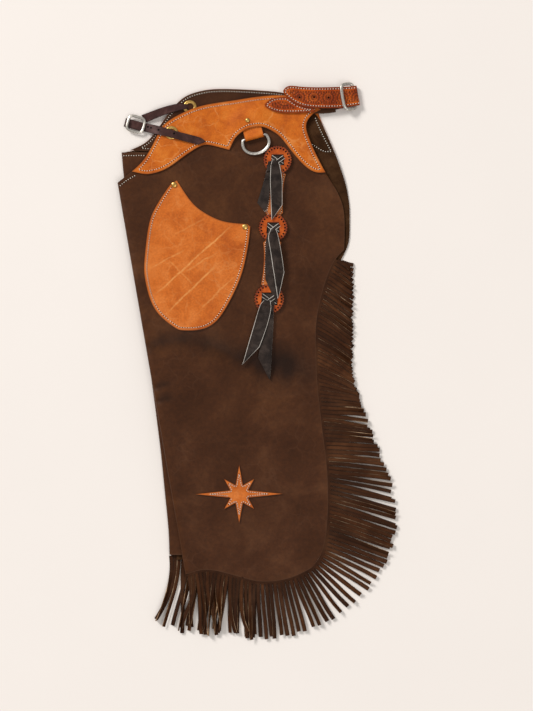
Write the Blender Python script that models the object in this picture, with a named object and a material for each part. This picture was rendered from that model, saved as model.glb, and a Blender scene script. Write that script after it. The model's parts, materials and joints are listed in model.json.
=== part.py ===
"""Western leather chaps, folded in half and lying flat: the left leg on top, the right leg beneath.

All sizes below are in millimetres, +X to the right and +Y to the waist as the chaps lie, +Z up from the
surface. The meshes are made in metres. The outlines are the pieces' cut edges as they lie.
"""

import math

import bmesh
import bpy
from mathutils import Matrix, Vector
from mathutils.bvhtree import BVHTree
from mathutils.geometry import delaunay_2d_cdt

MM = 0.001
SHIFT = (-2.17, -2.23)
CORNER = "corner"
LAID_ON = {}

# Leather and seams
LEG_LEATHER = 2.0
YOKE_LEATHER = 2.4
LINER_LEATHER = 1.6
POCKET_LEATHER = 2.0
BELT_LEATHER = 3.0
STRAP_LEATHER = 2.0
SEAM_GAP = 0.3
LAID_GAP = 0.6
EDGE_GAP = 0.6

# Front folds of the two legs
FOLD_TOP = (-250.0, 324.0)
FOLD_FOOT = (-128.0, -380.0)
FOLD_RADIUS = 8.0
TIGHTEST_BEND = 1.5
LEFT_TURN_IN = 40.0
RIGHT_TURN_IN = 46.0
CROWN_POWER = 1.7
EDGE_RISE_WIDTH = 60.0
KNEE_WIDTH = 21.0

# Right leg, raised a little where it lies on its own yoke
RAISE_FOOT = 315.0
RAISE_WIDTH = 30.0
RAISE_HEIGHT = 2.7

# Fringe
STRAND_WIDTH = 6.3
STRAND_FILL = 0.84
STRAND_LEATHER = 1.6
STRIP_WIDTH = 4.0
LEFT_STRANDS = 112
RIGHT_SIDE_STRANDS = 34
RIGHT_HEM_STRANDS = 21

# Metal
RIVET_RADIUS = 5.4
STUD_RADIUS = 4.2
GROMMET_RADIUS = 12.5
GROMMET_HOLE = 6.5
DEE_WIRE = 2.4
DEE_BAR_HALF = 19.0
DEE_HALF_WIDTH = 24.2
DEE_SHOULDER = 12.0
DEE_DROP = 30.4
KEEPER_HALF = 17.2
KEEPER_LEATHER = 1.8

# Heights of the left leg's top face: at the fold, at the outer edge, and the slack just inside that edge
LEG_SECTIONS = [
    # y, fold height, edge height, slack, edge x
    (-395.0, 19.5, 4.6, 3.0, 100.0),
    (-250.0, 24.0, 4.6, 4.0, 128.0),
    (-72.0, 25.0, 4.6, 4.0, 112.0),
    (110.0, 24.5, 4.6, 4.0, 113.0),
    (205.0, 22.0, 4.6, 3.0, 157.0),
    (300.0, 17.5, 4.8, 1.0, 147.0),
    (345.0, 13.5, 9.0, 0.0, 122.0),
    (400.0, 9.6, 9.0, 0.0, 122.0),
    (500.0, 9.2, 9.0, 0.0, 122.0),
]

# Middle height of the part of each leg that is turned in under its fold
TURN_IN_SECTIONS = [
    # y, left leg, right leg
    (-395.0, 10.6, 7.4),
    (-330.0, 12.8, 9.6),
    (200.0, 12.6, 9.8),
    (323.0, 10.3, 8.0),
    (380.0, 10.3, 7.2),
]

# The soft fold across the knee of the left leg
KNEE_SECTIONS = [
    # x, y, depth
    (-220.0, 39.0, 0.4),
    (-130.0, 39.0, 1.2),
    (-58.0, 21.0, 2.2),
    (5.0, -9.0, 3.0),
    (60.0, -15.0, 2.6),
    (90.0, -19.0, 0.7),
    (120.0, -22.0, 0.0),
]

# Left leg: its outer edge from hem to waist, its hem and its upper edge beneath the yoke
LEFT_OUTER_EDGE = [
    # x, y
    (102, -368), (117, -345), (124, -321), (128, -256), (127, -197), (118, -123), (109, -45), (106, 23),
    (106, 70), (113, 111), (131, 169), (144, 192, CORNER), (157, 201, CORNER), (158, 241), (156, 279),
    (144, 310), (122, 343),
]
LEFT_HEM = [
    # x, y
    (-128, -380), (-92, -371), (-38, -383), (-2, -394), (27, -394), (57, -389), (83, -378), (102, -368),
]
LEFT_WAIST = [
    # x, y
    (-250, 324), (-238, 335), (-226, 344), (-198, 365), (-178, 396), (-153, 422), (-112, 443), (-58, 457),
    (-4, 462), (38, 456), (60, 440), (76, 416), (92, 387), (106, 363), (122, 343),
]

# Right leg: its fold, outer edge, hem and upper edge
RIGHT_FOLD = [
    # x, y
    (-157, -346), (-158, -305), (-164, -247), (-175, -139), (-239, 334), (-243, 379),
]
RIGHT_OUTER_EDGE = [
    # x, y
    (92, -359), (117, -321), (124, -256), (122, -197), (115, -123), (108, -45), (113, 41), (122, 108),
    (140, 165), (153, 189, CORNER), (166, 199, CORNER), (167, 221), (165, 301), (146, 364), (123, 418),
    (111, 445),
]
RIGHT_HEM = [
    # x, y
    (-157, -346), (-142, -341), (-103, -342), (-49, -355), (5, -369), (92, -359),
]
RIGHT_WAIST = [
    # x, y
    (-243, 379), (-229, 382), (-193, 388), (-178, 408), (-166, 432), (-135, 460), (-94, 477), (-40, 484),
    (32, 478), (77, 468), (111, 445),
]

YOKE_OUTLINE = [
    # x, y
    (-225, 344, CORNER), (-197, 339), (-163, 349), (-130, 373), (-103, 390), (-89, 393), (-71, 389),
    (-50, 383, CORNER), (-39, 405), (-20, 420), (0, 425), (16, 423), (41, 408), (61, 382), (83, 357),
    (96, 347), (109, 342), (123, 343, CORNER), (112, 363), (93, 405), (88, 429), (99, 447),
    (115, 456, CORNER), (83, 477), (48, 482), (0, 479), (-49, 471), (-86, 466), (-123, 455), (-169, 428),
    (-185, 397), (-205, 363),
]
RIGHT_YOKE_OUTLINE = [
    # x, y
    (-233, 378, CORNER), (-215, 385), (-191, 403), (-173, 428), (-142, 468), (-121, 482), (-85, 492),
    (-49, 492), (16, 489), (59, 484), (88, 475), (110, 460, CORNER), (111, 446), (122, 421),
    (140, 378, CORNER), (122, 374), (94, 390), (67, 417), (43, 446), (25, 455), (5, 455), (-14, 448),
    (-36, 414, CORNER), (-67, 421), (-88, 424), (-106, 419), (-142, 392), (-164, 379), (-184, 372),
    (-207, 370),
]
LINER_OUTLINE = [
    # x, y
    (-229, 383, CORNER), (-204, 394), (-185, 412), (-175, 428), (-160, 448), (-144, 469), (-122, 484),
    (-86, 493), (-49, 494), (16, 490), (49, 487), (74, 478, CORNER), (83, 451), (79, 419), (67, 390),
    (23, 383), (-67, 379), (-148, 374), (-184, 381, CORNER),
]
POCKET_OUTLINE = [
    # x, y
    (-144, 328, CORNER), (-122, 294), (-103, 275), (-67, 256), (-32, 250), (-18, 250, CORNER),
    (-12, 245, CORNER), (-16, 210), (-30, 152), (-61, 90), (-81, 68), (-104, 59), (-126, 58), (-145, 61),
    (-184, 97), (-202, 156), (-201, 195), (-191, 261), (-165, 308), (-153, 324, CORNER),
]

# Leg-tie strap: three round lobes joined by narrow waists, along a slightly slanted line
ROSETTES = [
    # name, x, y, radius, window half width, window half height
    ("rosette_top", 37.0, 365.0, 25.6, 12.0, 9.5),
    ("rosette_middle", 29.0, 243.0, 26.0, 12.0, 9.5),
    ("rosette_bottom", 22.0, 115.0, 27.0, 15.0, 11.5),
]
STRAP_LOBE = 24.6
STRAP_WAIST = 13.0
ROSETTE_LEATHER = 2.0
ROSETTE_SIDES = 40

# Lace ties: the edges of each tail as it lies, from the knot to the tip
TIE_TAILS = {
    "tie_top": {
        "knot": (37.0, 365.0),
        # left x, left y, right x, right y
        "front": [(25, 350, 40, 352), (23, 330, 42, 335), (23, 300, 42, 308), (24, 275, 42, 284),
                  (24, 260, 27, 262)],
        "back": [(17, 345, 22, 348), (9, 315, 21, 320), (1, 288, 21, 300), (4, 271, 16, 280), (9, 269, 12, 272)],
    },
    "tie_middle": {
        "knot": (29.0, 243.0),
        "front": [(20, 226, 38, 228), (22, 196, 42, 200), (28, 160, 48, 164), (34, 130, 44, 136),
                  (37, 118, 39, 119)],
        "back": [(16, 222, 18.5, 224), (14, 190, 19.5, 196), (14, 152, 25, 160), (28, 126, 34, 130),
                 (34, 112, 36.5, 114)],
    },
    "tie_bottom": {
        "knot": (22.0, 115.0),
        "front": [(10, 96, 24, 100), (2, 70, 22, 78), (-8, 45, 14, 54), (-18, 20, 6, 32), (-25, 0, -21, 3)],
        "back": [(25, 92, 29, 94), (19, 62, 28, 66), (12, 34, 27, 38), (7, 12, 26, 16), (21, -26, 24, -24)],
    },
}
LACE_LEATHER = 1.8

# Belt pieces and front strap: the edges as they lie and the height of the lower face
BILLET_ROWS = [
    # upper x, upper y, lower x, lower y, height
    (47, 489, 48, 484, 15.4), (50, 494, 54, 478, 15.4), (56, 498, 62, 471.5, 15.4), (66, 498, 73, 464, 15.4),
    (82, 495.5, 90, 459, 15.4), (112, 495, 114, 458, 15.4), (128, 495.5, 131, 458, 13.8),
    (142, 496, 146, 458.5, 11.2), (154, 496.5, 159, 460, 9.6), (165, 497, 170, 462, 9.1),
    (174, 498, 180, 463.5, 9.1),
]
BILLET_TURN = 4.4
BILLET_RETURN = 42.0
BASE_ROWS = [
    # upper x, upper y, lower x, lower y, height
    (14, 465, 15, 461, 12.8), (20, 471, 22, 455.5, 12.8), (30, 477, 36, 450.5, 12.6),
    (50, 478, 54, 449, 12.6), (80, 474, 86, 450, 12.6), (101, 462, 103, 451.5, 12.5),
]
UNDERLAY_ROWS = [
    # upper x, upper y, lower x, lower y, height
    (90, 470, 90, 450, 5.2), (112, 474, 112, 449, 5.2), (126, 476, 127, 449.5, 4.0), (140, 479, 142, 452, 2.9),
]
LOOP_CENTRE = (165.2, 479.3)
LOOP_HALF_LONG = 23.0
LOOP_HALF_SHORT = 11.7
LOOP_WIRE = 2.1
LOOP_LOW = 6.2
LOOP_HIGH = 16.0
LOOP_SQUARENESS = 4.0

STRAP_UPPER_ROWS = [
    # upper x, upper y, lower x, lower y, height
    (-208, 447, -202, 433, 0.3), (-196, 451, -191, 437, 2.6), (-184, 455.5, -179, 442, 6.2),
    (-171, 460, -168, 446, 7.2), (-157, 464, -156, 450.5, 7.4), (-140, 467.5, -139, 455, 8.8),
    (-131, 467, -131, 457.5, 8.8),
]
STRAP_TONGUE_ROWS = [
    # upper x, upper y, lower x, lower y, height
    (-231.4, 439.9, -235.4, 424.9, 9.3), (-227.5, 438.8, -231.5, 423.9, 8.7),
    (-221.5, 437.2, -225.5, 422.2, 6.4), (-214.5, 435.3, -218.3, 420.3, 3.4),
    (-208, 433.6, -211.5, 418.6, 2.7), (-200, 431.8, -203.5, 417, 2.7), (-193, 430.2, -196, 415, 4.6),
    (-185, 428.5, -188, 413, 9.6), (-172, 424.5, -176, 410, 14.6), (-154, 419, -158, 406, 15.4),
    (-136, 414, -140, 401, 15.2), (-112, 408, -116, 394.5, 13.8), (-100, 405, -105, 392.5, 13.1),
    (-93.5, 399.5, -95, 396.5, 13.1),
]
TONGUE_TURN = 4.5
TONGUE_RETURN = 22.0
BUCKLE_CENTRE = (-218.5, 430.0)
BUCKLE_HALF_LONG = 15.0
BUCKLE_HALF_SHORT = 13.6
BUCKLE_WIRE = 1.8
BUCKLE_HEIGHT = 6.9
BUCKLE_TURN_DEG = -15.0

# Small metal pieces
RIVETS = [
    # name, x, y
    ("pocket_rivet_outer", -149.0, 320.0),
    ("pocket_rivet_inner", -21.5, 244.5),
]
STUD_PLACE = (-17.0, 436.0)
GROMMET_UPPER_PLACE = (-121.0, 461.0)
GROMMET_LOWER_PLACE = (-154.0, 414.0)

# Dee ring: its bar lies in the keeper, square to this direction
DEE_PLACE = (-5.0, 406.5)
DEE_TURN_DEG = 15.0
KEEPER_TAIL = 21.0
KEEPER_LIFT = 4.4
KEEPER_LIFT_INNER = 28.0
KEEPER_LIFT_OUTER = 45.0

# Appliqué on the lower leg: a star with its side points drawn out
STAR_PLACE = (-32.0, -236.0)
STAR_SIDE_POINT = 78.0
STAR_UP_POINT = 52.0
STAR_SLANT_POINT = 38.0
STAR_WAIST = 17.0

# Fringe: where strands leave the edge and where they end
LEFT_FRINGE = [
    # root x, root y, tip x, tip y
    (144, 190, 171, 181), (131, 168, 171, 142), (119, 130, 172, 96), (113, 110, 172, 70), (106, 66, 172, 26),
    (106, 23, 176, -20), (107, -10, 184, -56), (109, -45, 194, -92), (118, -123, 229, -178),
    (125, -175, 246, -225), (127, -200, 252, -254), (128, -256, 254, -296), (126.5, -300, 244, -338),
    (122, -330, 229, -370), (112, -356, 199, -412), (98, -370.5, 163, -446), (78, -381, 122, -472),
    (55, -389.5, 80, -489), (27, -394, 38, -498), (-2, -394, -2, -500), (-38, -383, -38, -499),
    (-66, -376, -70, -497), (-92, -371, -98, -494), (-127, -379.5, -130, -488),
]
RIGHT_SIDE_FRINGE = [
    # root x, root y, tip x, tip y
    (152, 187, 174, 181), (140, 165, 174, 146), (122, 108, 173, 76), (113, 41, 172, 8), (108, -40, 168, -70),
]
RIGHT_HEM_FRINGE = [
    # root x, root y, tip x, tip y
    (-156, -346, -192, -463), (-142, -341, -158, -482), (-103, -342, -122, -490), (-49, -355, -58, -494),
    (3, -368.6, -4, -499),
]


def smooth(value):
    """Ease from 0 to 1, flat at both ends."""
    held = min(max(value, 0.0), 1.0)
    return held * held * (3.0 - 2.0 * held)


def table_value(rows, at, column):
    """Read a column of a table whose first column rises, with a smooth curve through the rows."""
    if at <= rows[0][0]:
        return rows[0][column]
    if at >= rows[-1][0]:
        return rows[-1][column]
    index = next(i for i in range(len(rows) - 1) if rows[i + 1][0] >= at)
    here, there = rows[index], rows[index + 1]
    span = there[0] - here[0]

    def slope(i):
        low, high = rows[max(i - 1, 0)], rows[min(i + 1, len(rows) - 1)]
        return (high[column] - low[column]) / (high[0] - low[0])

    part = (at - here[0]) / span
    rise = there[column] - here[column]
    start, end = slope(index) * span, slope(index + 1) * span
    return (here[column] + start * part + (3 * rise - 2 * start - end) * part ** 2
            + (start + end - 2 * rise) * part ** 3)


def curve_point(rows, index, part, closed):
    """A point on the smooth curve through an outline's rows, straight into rows marked as corners."""
    count = len(rows)

    def row(i):
        return rows[i % count] if closed else rows[min(max(i, 0), count - 1)]

    def place(i):
        return Vector(row(i)[:2])

    def heading(i, chord):
        if len(row(i)) > 2:
            return chord
        through = place(i + 1) - place(i - 1)
        return through.normalized() * chord.length

    start, end = place(index), place(index + 1)
    chord = end - start
    leave, arrive = heading(index, chord), heading(index + 1, chord)
    square, cube = part * part, part ** 3
    return (start * (2 * cube - 3 * square + 1) + leave * (cube - 2 * square + part)
            + end * (3 * square - 2 * cube) + arrive * (cube - square))


def curve_points(rows, closed, step=3.0):
    """Close points along the whole curve of an outline."""
    points = []
    for index in range(len(rows) if closed else len(rows) - 1):
        length = (Vector(rows[(index + 1) % len(rows)][:2]) - Vector(rows[index][:2])).length
        pieces = max(1, math.ceil(length / step))
        points += [curve_point(rows, index, k / pieces, closed) for k in range(pieces)]
    if not closed:
        points.append(Vector(rows[-1][:2]))
    return points


def thin_out(points, tolerance, longest):
    """Keep only the points of a closed outline that its shape needs."""
    kept = [0]
    index = 0
    while index < len(points):
        far = index + 1
        while far + 1 <= len(points):
            ends = points[index], points[(far + 1) % len(points)]
            chord = ends[1] - ends[0]
            if chord.length > longest or chord.length == 0.0:
                break
            across = Vector((-chord.y, chord.x)).normalized()
            between = [abs((points[k % len(points)] - ends[0]).dot(across)) for k in range(index + 1, far + 1)]
            if max(between) > tolerance:
                break
            far += 1
        index = far
        if index < len(points):
            kept.append(index)
    return [points[k] for k in kept]


def outline_points(rows, tolerance=0.35, longest=26.0):
    return thin_out(curve_points(rows, True), tolerance, longest)


def height_reader(rows):
    """A function that gives y on an edge that runs from left to right."""
    points = [(p.x, p.y) for p in curve_points(rows, False)]

    def read(at):
        return line_value(points, at)

    return read


def side_reader(rows):
    """A function that gives x on an edge that runs up from the hem."""
    points = [(p.y, p.x) for p in curve_points(rows, False)]

    def read(at):
        return line_value(points, at)

    return read


def line_value(points, at):
    if at <= points[0][0]:
        return points[0][1]
    for low, high in zip(points, points[1:]):
        if low[0] <= at <= high[0] and high[0] > low[0]:
            return low[1] + (high[1] - low[1]) * (at - low[0]) / (high[0] - low[0])
    return points[-1][1]


def inside(point, loop):
    within = False
    for a, b in zip(loop, loop[1:] + loop[:1]):
        if (a.y > point.y) != (b.y > point.y):
            if point.x < a.x + (b.x - a.x) * (point.y - a.y) / (b.y - a.y):
                within = not within
    return within


def distance_to(point, loop):
    nearest = math.inf
    for a, b in zip(loop, loop[1:] + loop[:1]):
        run = b - a
        part = min(max((point - a).dot(run) / run.length_squared, 0.0), 1.0)
        nearest = min(nearest, (a + run * part - point).length)
    return nearest


# Surfaces


def fold_x(y):
    slope = (FOLD_FOOT[0] - FOLD_TOP[0]) / (FOLD_FOOT[1] - FOLD_TOP[1])
    return FOLD_TOP[0] + (y - FOLD_TOP[1]) * slope


def left_leg_top(x, y):
    """Height of the left leg's top face: high at the fold, low at the outer edge, with the knee fold."""
    fold_height, edge_height, slack, edge_x = (table_value(LEG_SECTIONS, y, c) for c in (1, 2, 3, 4))
    across = min(max((x - fold_x(y)) / (edge_x - fold_x(y)), 0.0), 1.0)
    slack *= smooth((edge_x - x) / EDGE_RISE_WIDTH)
    height = edge_height + slack + (fold_height - edge_height - slack) * (1.0 - across) ** CROWN_POWER
    away = (y - table_value(KNEE_SECTIONS, x, 1)) / KNEE_WIDTH
    height -= table_value(KNEE_SECTIONS, x, 2) * math.exp(-away * away)
    return max(height, edge_height)


def leg_surface(x, y):
    """Height of the left leg's mesh, for pieces that lie on it."""
    hit = LAID_ON["left_leg"].ray_cast(Vector((x, y, 100.0)) * MM, Vector((0, 0, -1)))[0]
    return hit.z / MM if hit else left_leg_top(x, y)


def keeper_lift(x, y):
    """How far the yoke stands up over the tail of the ring keeper."""
    tail = Vector((DEE_PLACE[0], DEE_PLACE[1])) - dee_out() * KEEPER_TAIL * 0.8
    away = (Vector((x, y)) - tail).length
    return KEEPER_LIFT * smooth((KEEPER_LIFT_OUTER - away) / (KEEPER_LIFT_OUTER - KEEPER_LIFT_INNER))


def yoke_bottom(x, y):
    return max(leg_surface(x, y), left_leg_top(x, y)) + LAID_GAP + keeper_lift(x, y)


def yoke_top(x, y):
    return yoke_bottom(x, y) + YOKE_LEATHER


def pocket_top(x, y):
    return leg_surface(x, y) + LAID_GAP + POCKET_LEATHER


def right_leg_raise(y):
    return RAISE_HEIGHT * smooth((y - RAISE_FOOT) / RAISE_WIDTH)


def dee_along():
    turn = math.radians(DEE_TURN_DEG)
    return Vector((math.cos(turn), math.sin(turn)))


def dee_out():
    turn = math.radians(DEE_TURN_DEG)
    return Vector((math.sin(turn), -math.cos(turn)))


# Materials


def leather(name, colour, roughness):
    return finish(name, colour, roughness, 0.0)


def metal(name, colour, roughness):
    return finish(name, colour, roughness, 1.0)


def finish(name, colour, roughness, metallic):
    material = bpy.data.materials.new(name)
    material.use_nodes = True
    shader = material.node_tree.nodes["Principled BSDF"]
    shader.inputs["Base Color"].default_value = (*colour, 1.0)
    shader.inputs["Roughness"].default_value = roughness
    shader.inputs["Metallic"].default_value = metallic
    material.diffuse_color = (*colour, 1.0)
    return material


# Mesh makers


def add_object(name, points, faces, material, origin=(0.0, 0.0, 0.0)):
    """One closed piece, its faces turned outwards, with its origin where asked."""
    mesh = bpy.data.meshes.new(name)
    base = Vector(origin)
    mesh.from_pydata([(Vector(p) - base) * MM for p in points], [], faces)
    work = bmesh.new()
    work.from_mesh(mesh)
    bmesh.ops.recalc_face_normals(work, faces=work.faces)
    work.to_mesh(mesh)
    work.free()
    mesh.shade_smooth()
    mesh.set_sharp_from_angle(angle=math.radians(35.0))
    mesh.materials.append(material)
    piece = bpy.data.objects.new(name, mesh)
    piece.location = (base + Vector((*SHIFT, 0.0))) * MM
    bpy.context.collection.objects.link(piece)
    return piece


def slab(name, outline, lower, thickness, material, spacing=None, holes=()):
    """A cut piece of leather of even thickness, laid on a surface given as a height function."""
    loops = [outline, *holes]
    points = [p for loop in loops for p in loop]
    edges = []
    start = 0
    for loop in loops:
        edges += [(start + k, start + (k + 1) % len(loop)) for k in range(len(loop))]
        start += len(loop)
    if spacing:
        points += inner_points(outline, holes, spacing)
    flat, _, faces, _, _, _ = delaunay_2d_cdt(points, edges, [], 1, 1e-5)
    kept = []
    for face in faces:
        middle = sum((flat[i] for i in face), Vector((0.0, 0.0))) / len(face)
        if inside(middle, outline) and not any(inside(middle, hole) for hole in holes):
            kept.append(face if turns_left([flat[i] for i in face]) else face[::-1])
    return add_object(name, *walls(flat, kept, lower, thickness), material)


def inner_points(outline, holes, spacing):
    low_x, high_x = min(p.x for p in outline), max(p.x for p in outline)
    low_y, high_y = min(p.y for p in outline), max(p.y for p in outline)
    row_height = spacing * math.sqrt(0.75)
    found = []
    for row in range(int((high_y - low_y) / row_height) + 1):
        y = low_y + (row + 0.5) * row_height
        for column in range(int((high_x - low_x) / spacing) + 2):
            point = Vector((low_x + (column + 0.5 * (row % 2)) * spacing, y))
            if inside(point, outline) and distance_to(point, outline) > 0.5 * spacing:
                if all(not inside(point, h) and distance_to(point, h) > 0.4 * spacing for h in holes):
                    found.append(point)
    return found


def turns_left(corners):
    a, b, c = corners[:3]
    return (b.x - a.x) * (c.y - a.y) - (b.y - a.y) * (c.x - a.x) > 0


def walls(flat, faces, lower, thickness):
    """Bottom, top and edge faces of a slab from its flat triangles."""
    count = len(flat)
    heights = [lower(p.x, p.y) for p in flat]
    points = [(p.x, p.y, z) for p, z in zip(flat, heights)]
    points += [(p.x, p.y, z + thickness) for p, z in zip(flat, heights)]
    solid = [[i + count for i in face] for face in faces]
    solid += [list(reversed(face)) for face in faces]
    used = {(a, b) for face in faces for a, b in zip(face, [*face[1:], face[0]])}
    solid += [[a, b, b + count, a + count] for a, b in used if (b, a) not in used]
    return points, solid


def grid_faces(rows, columns, start, flip):
    faces = []
    for r in range(rows - 1):
        for c in range(columns - 1):
            a = start + r * columns + c
            face = [a, a + 1, a + columns + 1, a + columns]
            faces.append(face[::-1] if flip else face)
    return faces


def shell(name, grid, thickness, material):
    """A leather wall of even thickness about a grid of points on its middle surface."""
    rows, columns = len(grid), len(grid[0])
    outer, inner = [], []
    for r in range(rows):
        for c in range(columns):
            up = grid[min(r + 1, rows - 1)][c] - grid[max(r - 1, 0)][c]
            along = grid[r][min(c + 1, columns - 1)] - grid[r][max(c - 1, 0)]
            normal = along.cross(up).normalized() * (thickness / 2)
            outer.append(grid[r][c] + normal)
            inner.append(grid[r][c] - normal)
    count = rows * columns
    faces = grid_faces(rows, columns, 0, False) + grid_faces(rows, columns, count, True)
    rim = [c for c in range(columns)]
    rim += [r * columns + columns - 1 for r in range(1, rows)]
    rim += [(rows - 1) * columns + c for c in range(columns - 2, -1, -1)]
    rim += [r * columns for r in range(rows - 2, 0, -1)]
    faces += [[a, a + count, b + count, b] for a, b in zip(rim, rim[1:] + rim[:1])]
    return add_object(name, outer + inner, faces, material)


def tube_of_sections(name, sections, material):
    """A solid through closed sections that all have the same number of points."""
    size = len(sections[0])
    points = [p for section in sections for p in section]
    faces = []
    for r in range(len(sections) - 1):
        for c in range(size):
            a, b = r * size + c, r * size + (c + 1) % size
            faces.append([a, b, b + size, a + size])
    faces.append(list(range(size)))
    faces.append([len(points) - size + c for c in range(size)])
    return add_object(name, points, faces, material)


def strip(name, rows, thickness, material, starts_up=True):
    """A strap through rows of its two edge points on one face, thickened along its own normal."""
    sections = []
    for index, (left, right) in enumerate(rows):
        before, after = rows[max(index - 1, 0)], rows[min(index + 1, len(rows) - 1)]
        along = (after[0] + after[1]) - (before[0] + before[1])
        normal = (right - left).cross(along).normalized() * thickness
        if index == 0:
            facing = (normal.z >= 0) == starts_up
        normal = normal if facing else -normal
        sections.append([left, right, right + normal, left + normal])
    return tube_of_sections(name, sections, material)


def laid_rows(rows, lower):
    """Rows of edge points dropped on a surface."""
    return [(Vector((a, b, lower(a, b))), Vector((c, d, lower(c, d)))) for a, b, c, d in rows]


def level_rows(rows):
    return [(Vector((a, b, z)), Vector((c, d, z))) for a, b, c, d, z in rows]


def turned_rows(last_left, last_right, heading, radius, length, steps=6):
    """Rows that carry a strap round a half turn downwards and back beneath itself."""
    rows = []
    for k in range(1, steps + 1):
        angle = math.pi * k / steps
        move = heading * (radius * math.sin(angle)) - Vector((0, 0, radius * (1 - math.cos(angle))))
        rows.append((last_left + move, last_right + move))
    back = -heading * length - Vector((0, 0, 2 * radius))
    rows.append((last_left + back, last_right + back))
    return rows


def wire(name, path, radius, material, sides=8, origin=(0.0, 0.0, 0.0)):
    """A closed wire through the points of a path."""
    middle = sum(path, Vector((0, 0, 0))) / len(path)
    plane = sum(((a - middle).cross(b - middle) for a, b in zip(path, path[1:] + path[:1])), Vector()).normalized()
    points = []
    for index, at in enumerate(path):
        along = (path[(index + 1) % len(path)] - path[index - 1]).normalized()
        out = along.cross(plane).normalized()
        for k in range(sides):
            angle = 2 * math.pi * k / sides
            points.append(at + out * (radius * math.cos(angle)) + plane * (radius * math.sin(angle)))
    faces = []
    for r in range(len(path)):
        for c in range(sides):
            a, b = r * sides + c, r * sides + (c + 1) % sides
            ahead = ((r + 1) % len(path)) * sides
            faces.append([a, b, ahead + (c + 1) % sides, ahead + c])
    return add_object(name, points, faces, material, origin)


def turned(name, centre, profile, material, sides=20):
    """A round piece from a profile of radius and height, from its foot outwards and up to its top."""
    points, rings = [], []
    for radius, height in profile:
        if radius == 0.0:
            rings.append([len(points)] * sides)
            points.append((centre[0], centre[1], centre[2] + height))
            continue
        rings.append(list(range(len(points), len(points) + sides)))
        for k in range(sides):
            angle = 2 * math.pi * k / sides
            points.append((centre[0] + radius * math.cos(angle), centre[1] + radius * math.sin(angle),
                           centre[2] + height))
    closed = profile[0][0] > 0.0 and profile[-1][0] > 0.0
    pairs = list(zip(rings, rings[1:])) + ([(rings[-1], rings[0])] if closed else [])
    faces = []
    for low, high in pairs:
        for k in range(sides):
            corners = [low[k], low[(k + 1) % sides], high[(k + 1) % sides], high[k]]
            face = list(dict.fromkeys(corners))
            if len(face) > 2:
                faces.append(face)
    return add_object(name, points, faces, material)


def joined(piece, *others):
    """One solid from pieces that run into each other."""
    for other in others:
        join = piece.modifiers.new("join " + other.name, "BOOLEAN")
        join.operation = "UNION"
        join.solver = "EXACT"
        join.object = other
        other.hide_render = True
        other.display_type = "WIRE"
    return piece


# Legs


def panel_point(part_across, part_up, fold, edge, hem, waist, hem_span, waist_span, fold_span, edge_span):
    """A point of a leg panel between its four edges, as a blend of all of them."""
    left_y = fold_span[0] + (fold_span[1] - fold_span[0]) * part_up
    right_y = edge_span[0] + (edge_span[1] - edge_span[0]) * part_up
    left, right = Vector((fold(left_y), left_y)), Vector((edge(right_y), right_y))
    low_x = hem_span[0] + (hem_span[1] - hem_span[0]) * part_across
    high_x = waist_span[0] + (waist_span[1] - waist_span[0]) * part_across
    low_left, low_right = Vector((fold(fold_span[0]), fold_span[0])), Vector((edge(edge_span[0]), edge_span[0]))
    high_left, high_right = Vector((fold(fold_span[1]), fold_span[1])), Vector((edge(edge_span[1]), edge_span[1]))
    low = Vector((low_x, hem(low_x))) - low_left.lerp(low_right, part_across)
    high = Vector((high_x, waist(high_x))) - high_left.lerp(high_right, part_across)
    return left.lerp(right, part_across) + low * (1.0 - part_up) + high * part_up


ROWS_UP = [0.0, 0.035, 0.08, 0.14, 0.2, 0.26, 0.32, 0.38, 0.43, 0.465, 0.49, 0.512, 0.534, 0.558, 0.59, 0.63,
           0.67, 0.71, 0.745, 0.772, 0.79, 0.804, 0.835, 0.865, 0.89, 0.915, 0.94, 0.965, 1.0]
ROWS_ACROSS = [0.07, 0.14, 0.23, 0.33, 0.44, 0.55, 0.66, 0.76, 0.84, 0.9, 0.95, 1.0]
FOLD_ANGLES = [0, 30, 60, 90, 120, 150, 180]
TURN_IN_STEPS = [1.0, 0.5]


def bend_radius(height):
    """How far a fold reaches in plan: less where its two layers lie close together."""
    return min(FOLD_RADIUS, height * height / 4 / TIGHTEST_BEND)


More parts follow.
